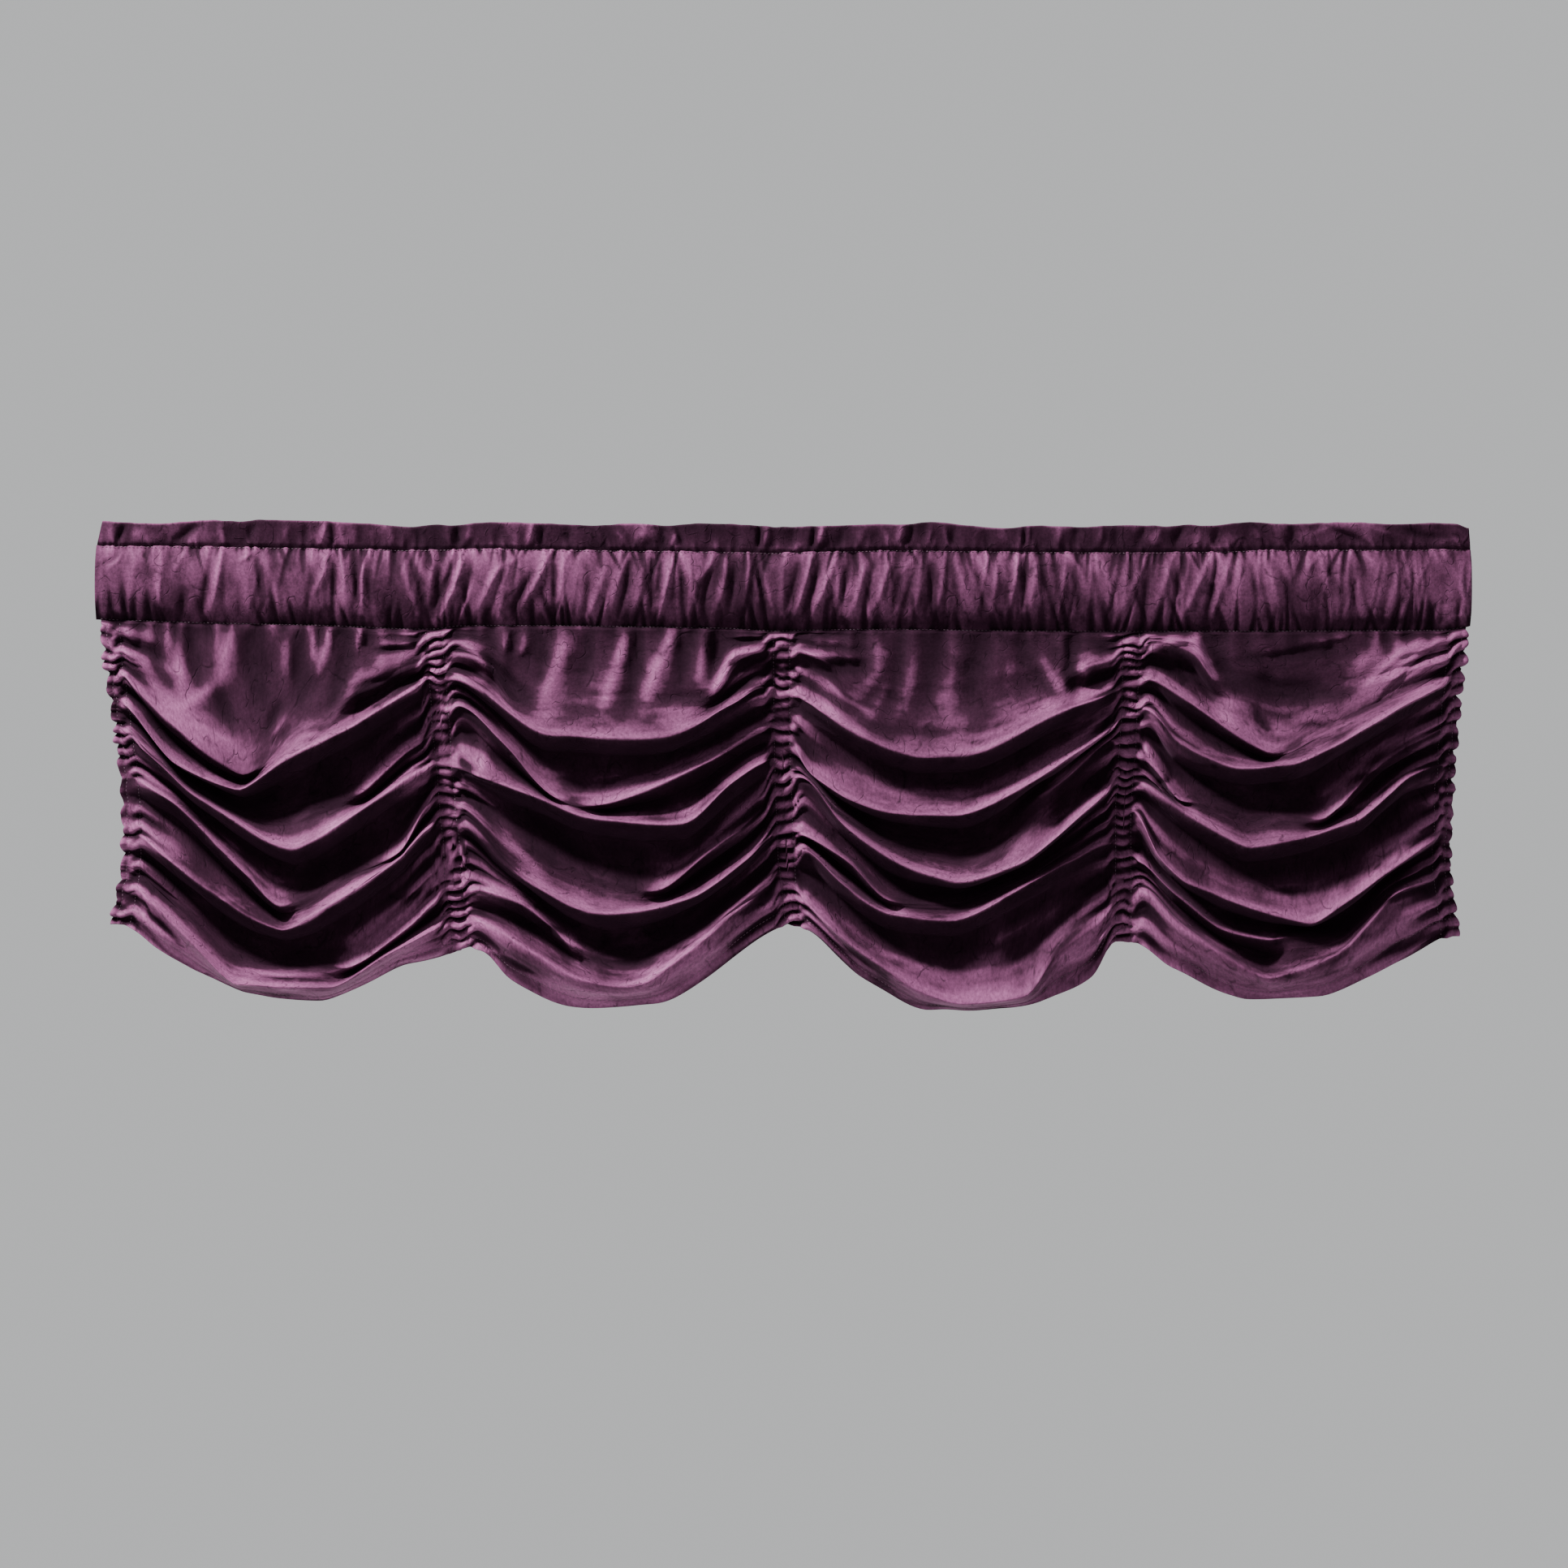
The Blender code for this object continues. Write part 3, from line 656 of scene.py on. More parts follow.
# One swag, from its seam over its crests to its hem, at each line across.
def drapeSwag(index, across):
    leftSeam = np.interp(lineHeights[0], lineHeights, gatherLines[index])
    rightSeam = np.interp(lineHeights[0], lineHeights, gatherLines[index + 1])
    seamX = leftSeam + across * (rightSeam - leftSeam) - layout["middleX"]
    flat = np.zeros_like(seamX)
    seamRow = {
        "x": seamX * layout["step"],
        "z": flat + panel["top"],
        "depth": flat + panel["seamDepth"],
        "shut": flat,
        "sunk": flat,
    }
    rows = [seamRow] + foldRows(index, across)
    last = len(rows) - 1
    for k in range(1, last):  # a fold that has run out lies on the pouch below it
        row, upper, lower = rows[k], rows[k - 1], rows[k + 1]
        onPouch = 0.40 * upper["z"] + 0.60 * lower["z"]
        row["z"] = (1 - row["sunk"]) * row["z"] + row["sunk"] * onPouch
        onPouch = 0.05 * upper["depth"] + 0.45 * lower["depth"]
        row["depth"] = (1 - row["sunk"]) * row["depth"] + row["sunk"] * onPouch
    for upper, row in zip(rows, rows[1:]):  # each crest stays below the one above
        row["z"] = np.minimum(row["z"], upper["z"] - 0.004)
    # how bright each crest's painted highlight is: dim at the seam, and less on a fold that has
    # closed or sunk
    crestHighlight = [flat + 0.25]
    for k, row in enumerate(rows[1:]):
        crestHighlight.append(1 - (0.86 if k else 0.50) * np.maximum(row["shut"], row["sunk"]))
    xs, zs, depths, naps, places = [], [], [], [], []
    for k in range(last):
        upper, lower = rows[k], rows[k + 1]
        for f, z, depth, paintedLightAndTone in bandRows(k, last, upper, lower, crestHighlight):
            xs.append(upper["x"] + f * (lower["x"] - upper["x"]))
            zs.append(z)
            depths.append(depth)
            naps.append(paintedLightAndTone)
            places.append(k + f)
    return np.array(xs), np.array(zs), np.array(depths), np.array(naps), np.array(places)


# Blends each row a little with the rows above and below it.
def softenRows(values, wide):
    half = 8
    reach = np.arange(-half, half + 1)
    weights = np.exp(-0.5 * (reach / wide) ** 2)
    weights /= weights.sum()
    padded = np.pad(values, ((half, half), (0, 0)), mode="edge")
    out = np.zeros_like(values)
    for shift, weight in enumerate(weights):
        out += weight * padded[shift : shift + len(values)]
    return out


# Places of the lines across a swag, close together beside its gathered lines.
def lineSteps(width):
    steps = [0.0]
    for count, step in panel["lineSteps"]:
        for _ in range(count):
            steps.append(steps[-1] + step)
    rest = (width / 2 - steps[-1]) / panel["middleLines"]
    for _ in range(panel["middleLines"]):
        steps.append(steps[-1] + rest)
    half = np.array(steps) / width
    return np.concatenate([half, 1 - half[-2::-1]])


# The four swags side by side, as rows and lines of x, z, depth and painted light. place counts the
# crests down the cloth. sides tell how far each line is from the gathered lines left and right of
# it, and which swag it is in.
def joinSwags():
    parts, sides = [], []
    for index in range(4):
        width = (gatherLines[index + 1].at1000 - gatherLines[index].at1000) * layout["step"]
        across = lineSteps(width)
        if index:
            across = across[1:]
        parts.append(drapeSwag(index, across))
        swag = np.full_like(across, index)
        sides.append(np.stack([across * width, (1 - across) * width, swag]))
    x, z, depth, paintedLightAndTone = (np.concatenate([part[i] for part in parts], axis=1) for i in range(4))
    place = parts[0][4][:, None]
    z, depth, paintedLightAndTone = softenRows(z, 0.7), softenRows(depth, 0.7), softenRows(paintedLightAndTone, 0.6)
    for row, (tuckedDepth, tuckedZ) in enumerate(panel["seamTuck"]):
        depth[row], z[row] = tuckedDepth, tuckedZ
    z = z - seamDip(x, "foot") * (1 - smooth(place / 0.5))
    return x, z, depth, paintedLightAndTone, place, np.concatenate(sides, axis=1)


# How far along the cloth each line lies, and how far down it each row. The rows are
# measured on the pouches, away from the gathered lines.
def clothLengths(x, z, depth, near):
    shape = np.stack([x, -depth, z], axis=-1)
    down = np.linalg.norm(np.diff(shape, axis=0), axis=-1)
    onPouch = near > 0.08
    v = -np.concatenate([[0.0], np.cumsum(down[:, onPouch].mean(axis=1))])
    side = np.linalg.norm(np.diff(shape, axis=1), axis=-1)
    u = np.concatenate([[0.0], np.cumsum(side.mean(axis=0))])
    return u, v


# Uneven hang: slow swells, soft dents, and wrinkles that run along the folds. Each
# swell moves the height or the depth, and starts clear of the gathered lines.
Swell = namedtuple("Swell", "moves clear noise")
hang = {
    "full": 0.06,
    "swells": (
        Swell("z", 0.06, Noise(0.0010, 3, 0.090, 0.16)),
        Swell("depth", 0.06, Noise(0.0014, 7, 0.110, 0.060)),
        Swell("depth", 0.03, Noise(0.0012, 11, 0.150, 0.0130)),
        Swell("z", 0.06, Noise(0.0012, 105, 0.030, 0.045)),
        Swell("depth", 0.06, Noise(0.0012, 107, 0.036, 0.030)),
    ),
    "dents": Noise(0.0006, 13, 0.022, 0.020),
    "fans": Noise(0.0026, 17, 0.060, 0.0095),
    "fansAt": 0.034,
    "fansWide": 0.026,
    "patches": Noise(0.45, 19, 0.085, 0.050),
    "mottle": Noise(0.06, 23, 0.03, 0.02),
    "streaks": Noise(1.0, 101, 0.045, 0.0048),
    "fineStreaks": Noise(0.7, 103, 0.020, 0.0030),
    "streakLift": 0.00035,
    "streakPaintedLight": 0.22,
    "creaseHigh": 1.15,
}

# The gathers sewn into the seam under the pocket, and the ripples that fall from it.
gather = {
    "seed": 5,
    "span": (-0.65, 0.65),
    "apart": (0.0120, 0.0250),
    "high": 0.0027,
    "sharp": 0.9,
    "fall": 0.0170,
    "plain": 0.0003,
    "paintedLightAndTone": 190,
}
ripple = {
    "seed": 41,
    "reach": 0.64,
    "apart": (0.016, 0.034),
    "slant": (-0.14, 0.14),
    "wide": (0.0050, 0.0095),
    "high": (0.0010, 0.0034),
    "long": (0.034, 0.090),
    "widens": 0.11,
    "plain": 0.0009,
    "paintedLightAndTone": 34,
}


def ripples(x, below):
    rng = np.random.default_rng(ripple["seed"])
    lift = np.zeros(np.broadcast(x, below).shape)
    place = -ripple["reach"]
    while place < ripple["reach"]:
        place += rng.uniform(*ripple["apart"])
        slant, wide = rng.uniform(*ripple["slant"]), rng.uniform(*ripple["wide"])
        high, long = rng.uniform(*ripple["high"]), rng.uniform(*ripple["long"])
        centre = place + slant * below
        grown = wide * (1 + below / ripple["widens"])
        lift += high * hump(x - centre, grown) * hump(below, long)
    return lift


# Gathers and ripples, which fade out over the first crest, with painted highlights on their ridges
# and painted shade between them.
def gatherSeam(x, z, paintedLightAndTone, place, full):
    below = np.maximum(panel["top"] - z, 0.0)
    fade = 1 - smooth((place - 0.55) / 0.65)
    fall = ripples(x, below) * fade * (0.25 + 0.75 * full)
    steps = unevenSteps(gather["seed"], *gather["span"], *gather["apart"])
    gathers = gather["high"] * ridges(x, steps, gather["sharp"]) * hump(below, gather["fall"], 1)
    paintedShading = ripple["paintedLightAndTone"] * (fall - ripple["plain"]) + gather["paintedLightAndTone"] * (gathers - gather["plain"])
    return fall, gathers, paintedLightAndTone + np.clip(paintedShading, -0.34, 0.3) * fade


# A gathered line is a narrow strip of short level rungs, and rolls fan out of it. The
# strip is wider at the two side edges than at the three lines between them.
column = {
    "seed": 60,
    "seedStep": 7,
    "span": (-0.60, 0.05),
    "edge": {"half": 0.0150, "apart": (0.0090, 0.0170), "seams": (0.0045, 0.0170), "most": 0.0046},
    "inner": {"half": 0.0070, "apart": (0.0065, 0.0135), "seams": (0.0071,), "most": 0.0084},
    "seamWide": 0.0013,
    "seamDeep": 0.0006,
    "uneven": Noise(0.35, 8, 0.024, 1.0),
    "pulledBack": 0.70,
    "shift": (0.0045, -0.0035),
    "shiftFrom": 0.006,
    "shiftOver": 0.012,
    "wander": Noise(0.0022, 2, 0.009, 0.030),
    "slope": 0.32,
    "slant": Noise(1.0, 6, 0.024, 1.0),
    "plainSize": 0.95,
    "patchy": Noise(0.9, 3, 0.019, 0.016),
    "sizes": (0.4, 1.5),
    "drawnLeast": 0.0050,
    "drawnMore": 0.0070,
    "drawn": Noise(0.5, 5, 0.012, 0.50),
    "rungSharp": 0.42,
    "rungPaintedLight": 0.0026,
    "fanApart": (0.013, 0.026),
    "fanHigh": 0.0100,
    "fanFrom": 0.005,
    "fanOver": 0.012,
    "fanLong": 0.046,
    "fanSharp": 1.6,
    "fanPaintedLight": 0.0032,
    "stripPaintedLight": Noise(0.40, 90, 0.036, 0.03),
    "shadeAt": 0.016,
    "shadeWide": 0.013,
    "lobeApart": (0.016, 0.028),
    "lobeHigh": 0.0042,
    "lobeFade": 0.010,
    "calmAt": 0.222,
    "calmTall": 0.022,
}


def gatherColumn(c, sides, x, z, depth, paintedLightAndTone, lift, place):
    fromLeft, fromRight, swag = sides
    rightAway = np.where(swag == c, fromLeft, 9.0)
    leftAway = np.where(swag == c - 1, fromRight, 9.0)
    away = np.minimum(rightAway, leftAway)
    onLeft = leftAway < rightAway
    d = away[None, :]
    height = z[:, int(np.argmin(away))][:, None]
    edge = c in (0, 4)
    kind = column["edge"] if edge else column["inner"]
    seed = column["seed"] + column["seedStep"] * c
    rungSteps = unevenSteps(seed, *column["span"], *kind["apart"])
    fanSteps = unevenSteps(seed + 1, *column["span"], *column["fanApart"])
    grown = smooth(place / 0.10)

    half = kind["half"] * (1 + spread(column["uneven"], z, 0.0, seed))
    strip = hump(d, half, 3)
    pinch = sum(hump(d - at, column["seamWide"]) for at in kind["seams"])
    calm = 1.0
    if c == 0:  # the first line lies flatter at one place
        calm = 1 - 0.75 * hump(height + column["calmAt"], column["calmTall"])
    toLine = 0.95 * panel["columnDepth"] - depth
    depth = depth + toLine * column["pulledBack"] * strip * smooth(place / 0.4)

    # the rungs lie level near the line, and slant and wander away from it
    shift = np.where(onLeft, *column["shift"])
    shift = shift * smooth((away - column["shiftFrom"]) / column["shiftOver"])
    sideways = np.where(onLeft, -d, d)
    level = height + (z - height) * hump(d, half + 0.006, 4)
    level = level + spread(column["wander"], d, z, seed) + shift
    level = level + column["slope"] * sideways * spread(column["slant"], z, 0.0, seed)
    uneven = column["plainSize"] + spread(column["patchy"], z, sideways, seed)
    uneven = np.clip(uneven, *column["sizes"])
    nearSeam = 1 - smooth((place - 0.7) / 0.5)
    uneven = np.maximum(uneven, column["plainSize"] * nearSeam)
    drawn = 0.5 + spread(column["drawn"], z, d, seed)
    drawn = column["drawnLeast"] + column["drawnMore"] * drawn
    size = kind["most"] * hump(d, half + drawn, 2.2) * calm * uneven
    rungs = size * ridges(level, rungSteps, column["rungSharp"]) * (1 - 0.30 * pinch) * grown

    reach = column["fanHigh"] * smooth((d - column["fanFrom"]) / column["fanOver"])
    reach = reach * hump(d, column["fanLong"], 1.6) * calm
    fans = reach * (ridges(height + 2 * shift, fanSteps, column["fanSharp"]) + 0.15) * grown
    lift = lift + rungs + fans - column["seamDeep"] * pinch * (d < 0.05) * grown

    # painted light on the line: the strip set to a mid level, painted highlights and shade on the
    # rungs, painted shade just beside the strip, and painted highlights and shade on the fans
    stripPaintedLight = 0.50 + spread(column["stripPaintedLight"], z, d, c)
    paintedLightAndTone = paintedLightAndTone + (stripPaintedLight - paintedLightAndTone) * 0.70 * strip * grown
    paintedLightAndTone = paintedLightAndTone + np.clip(rungs / column["rungPaintedLight"], -0.7, 0.7)
    paintedLightAndTone = paintedLightAndTone * (1 - 0.28 * hump(d - column["shadeAt"], column["shadeWide"]) * grown)
    paintedLightAndTone = paintedLightAndTone + np.clip(fans / column["fanPaintedLight"], -1.0, 0.55) * hump(d, 0.05)
    if edge:  # the side edge is drawn into small lobes
        lobeSteps = unevenSteps(seed + 4, *column["span"], *column["lobeApart"])
        outward = 0.5 * rungs + column["lobeHigh"] * ridges(height, lobeSteps, 0.5)
        x = x + (1 if c else -1) * outward * hump(d, column["lobeFade"], 1) * grown
    return x, depth, paintedLightAndTone, lift


# The turned hem and the turned side edges. Each turn copies a row or line of the cloth,
# so many thicknesses behind it, moved down or outwards, and so far along the cloth.
hem = {
    "tall": 0.0070,
    "soft": 0.0022,
    "thick": 0.0009,
    "seamUp": 0.0082,
    "seamDeep": 0.0006,
    "seamWide": 0.0012,
    "leastDepth": 0.0004,
}
Turn = namedtuple("Turn", "copies behind moved along")
hemTurns = [
    Turn(-1, 0.5, 0.0003, 0.0008),
    Turn(-1, 1.0, 0.0, 0.0016),
    Turn(-3, 1.1, 0.0, 0.0050),
    Turn(-5, 1.1, 0.0, 0.0085),
    Turn(-7, 1.0, 0.0, 0.0120),
]
sideTurns = [
    Turn(0, 0.5, 0.0004, 0.0008),
    Turn(1, 1.0, 0.0, 0.0022),
    Turn(5, 1.1, 0.0, 0.0070),
    Turn(9, 1.0, 0.0, 0.0118),
]


def turnHem(x, z, depth, paintedLightAndTone, lift, v):
    copies, behind, moved, along = (np.array(part) for part in zip(*hemTurns))
    x = np.concatenate([x, x[copies]])
    z = np.concatenate([z, z[copies] - moved[:, None]])
    depth = np.concatenate([depth, depth[copies] - panel["cloth"] * behind[:, None]])
    lift = np.concatenate([lift, lift[copies]])
    # the turned copies behind the hem get painted shade
    paintedLightAndTone = np.concatenate([paintedLightAndTone, np.full_like(paintedLightAndTone[copies], 0.2)])
    return x, z, depth, paintedLightAndTone, lift, np.concatenate([v, v[-1] - along])


def turnSides(values, back=0.0, outward=0.0):
    copies, behind, moved, _ = (np.array(part) for part in zip(*sideTurns))
    left = values[:, copies] - back * behind - outward * moved
    right = values[:, -1 - copies] - back * behind + outward * moved
    return np.concatenate([left[:, ::-1], values, right], axis=1)


# Adds the uneven hang, the seam's gathers, the streaks and creases, and a painted light level for
# each swag.
def roughenCloth(x, z, depth, paintedLightAndTone, place, sides, u, v):
    fromLeft, fromRight, swag = sides
    near = np.minimum(fromLeft, fromRight)[None, :]
    uu, vv = np.broadcast_to(u[None, :], x.shape), np.broadcast_to(v[:, None], x.shape)
    body = smooth(place / 1.2)
    for moves, clear, noise in hang["swells"]:
        swell = spread(noise, uu, vv) * smooth(near / clear) * body
        if moves == "z":
            z = z + swell
        else:
            depth = depth + swell
    fan = hump(near - hang["fansAt"], hang["fansWide"])
    lift = spread(hang["dents"], uu, vv) + spread(hang["fans"], uu, vv) * fan * body
    fall, gathers, paintedLightAndTone = gatherSeam(x, z, paintedLightAndTone, place, smooth(near / hang["full"]))
    lift = lift + fall + gathers
    paintedLightAndTone = paintedLightAndTone * (1 + spread(hang["patches"], uu, vv)) + spread(hang["mottle"], uu, vv)
    # the streaks, with painted light and shade along them
    streaks = spread(hang["streaks"], uu, vv) + spread(hang["fineStreaks"], uu, vv)
    lift = lift + hang["streakLift"] * streaks * body
    paintedLightAndTone = paintedLightAndTone * (1 + hang["streakPaintedLight"] * streaks * body)
    # a painted light level for each swag, set by crests down the cloth
    for k, swagPaintedLight in enumerate(panel["swagPaintedLight"]):
        paintedLightAndTone = paintedLightAndTone * np.where(swag == k, np.interp(place, panel["swagPaintedLightRows"], swagPaintedLight), 1.0)

    # the creases, with a painted highlight where they stand out and painted shade where they sink
    # in
    pressed = hang["creaseHigh"] * creaseLift(swagCreases, x, z) + creaseLift(looseCreases(), x, z)
    lift = lift + pressed
    paintedLightAndTone = paintedLightAndTone * (1 + np.clip(pressed / 0.0060, -0.8, 0.8)) + np.clip(pressed / 0.012, -0.3, 0.3)
    return z, depth, paintedLightAndTone, lift


def makePanel():
    x, z, depth, paintedLightAndTone, place, sides = joinSwags()
    u, v = clothLengths(x, z, depth, np.minimum(sides[0], sides[1]))
    z, depth, paintedLightAndTone, lift = roughenCloth(x, z, depth, paintedLightAndTone, place, sides, u, v)
    for c in range(len(gatherLines)):
        x, depth, paintedLightAndTone, lift = gatherColumn(c, sides, x, z, depth, paintedLightAndTone, lift, place)

    # the turned hem is a little thicker, with its stitch row pressed in
    up = (v - v[-1])[:, None]
    lift = lift + hem["thick"] * (1 - smooth((up - hem["tall"]) / hem["soft"]))
    lift = lift - hem["seamDeep"] * hump(up - hem["seamUp"], hem["seamWide"])
    lift = np.maximum(lift, hem["leastDepth"] - depth)

    x, z, depth, paintedLightAndTone, lift, v = turnHem(x, z, depth, paintedLightAndTone, lift, v)
    x, z, depth = turnSides(x, outward=1.0), turnSides(z), turnSides(depth, back=panel["cloth"])
    paintedLightAndTone, lift = turnSides(paintedLightAndTone), turnSides(lift)
    along = np.array([turn.along for turn in sideTurns])
    u = np.concatenate([u[0] - along[::-1], u, u[-1] + along])
    points = np.stack([x, -depth - lift, z - panel["liftDrop"] * lift], axis=-1)

    rows, lines = x.shape
    obj = makeGrid("swag_cloth", lines, rows)
    line, row = gridPlaces(obj.data, lines, rows)
    setPoints(obj.data, points[row, line])
    addClothMap(obj.data, u[line], v[row])
    addPaintedLight(obj.data, paintedLightAndTone[row, line])
    obj.data.shade_smooth()
    print("swag cloth", rows, "rows", lines, "lines")
    print("flat cloth", round(u[-1] - u[0], 3), "by", round(-v[-1], 3))
    return obj, points, u, v


swagCloth, panelPoints, panelU, panelV = makePanel()
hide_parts("swag_panel")
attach(swagCloth, "root")


# Small puckers beside a seam, at random places along it. longest is how far down from
# the seam they may run, and apart the mean space between them.
Puckers = namedtuple("Puckers", "seed longest apart")
pucker = {
    "reach": 0.645,
    "least": 0.0035,
    "slant": 0.22,
    "wide": (0.0012, 0.0030),
    "high": (0.0012, 0.0034),
    "shortest": 0.003,
}


def seamPuckers(kind, x, inset):
    rng = np.random.default_rng(kind.seed)
    lift = np.zeros_like(x)
    place = -pucker["reach"]
    while place < pucker["reach"]:
        place += pucker["least"] + rng.exponential(kind.apart)
        slant, wide = rng.normal(0.0, pucker["slant"]), rng.uniform(*pucker["wide"])
        high, long = rng.uniform(*pucker["high"]), rng.uniform(pucker["shortest"], kind.longest)
        centre = place + slant * inset
        lift += high * hump(x - centre, wide) * hump(inset, long, 1.4)
    return lift


pocket = {
    "left": -0.6375,
    "right": 0.6375,
    "height": 0.0740,
    "front": 0.0120,
    "back": 0.0060,
    "wall": 0.0016,
    "lines": 860,
    "around": 56,
    "frontShare": 0.70,
    "round": 0.85,
    "flat": 2.6,
    "topPuckers": Puckers(31, 0.013, 0.0110),
    "footPuckers": Puckers(32, 0.024, 0.0062),
    "topDips": Puckers(38, 0.020, 0.0052),
    "fineTop": Puckers(34, 0.060, 0.0062),
    "fineFoot": Puckers(35, 0.060, 0.0062),
    "smallDents": Noise(0.0007, 27, 0.013, 0.030),
    "broadDents": Noise(0.0010, 28, 0.030, 0.050),
    "patches": Noise(0.30, 29, 0.05, 0.05),
    "paintedShading": {"plain": 0.63, "folds": 95, "topPuckers": 130, "topDips": 230, "footPuckers": 260},
    "insidePaintedShade": 0.1,
    "fullness": 1.25,
}

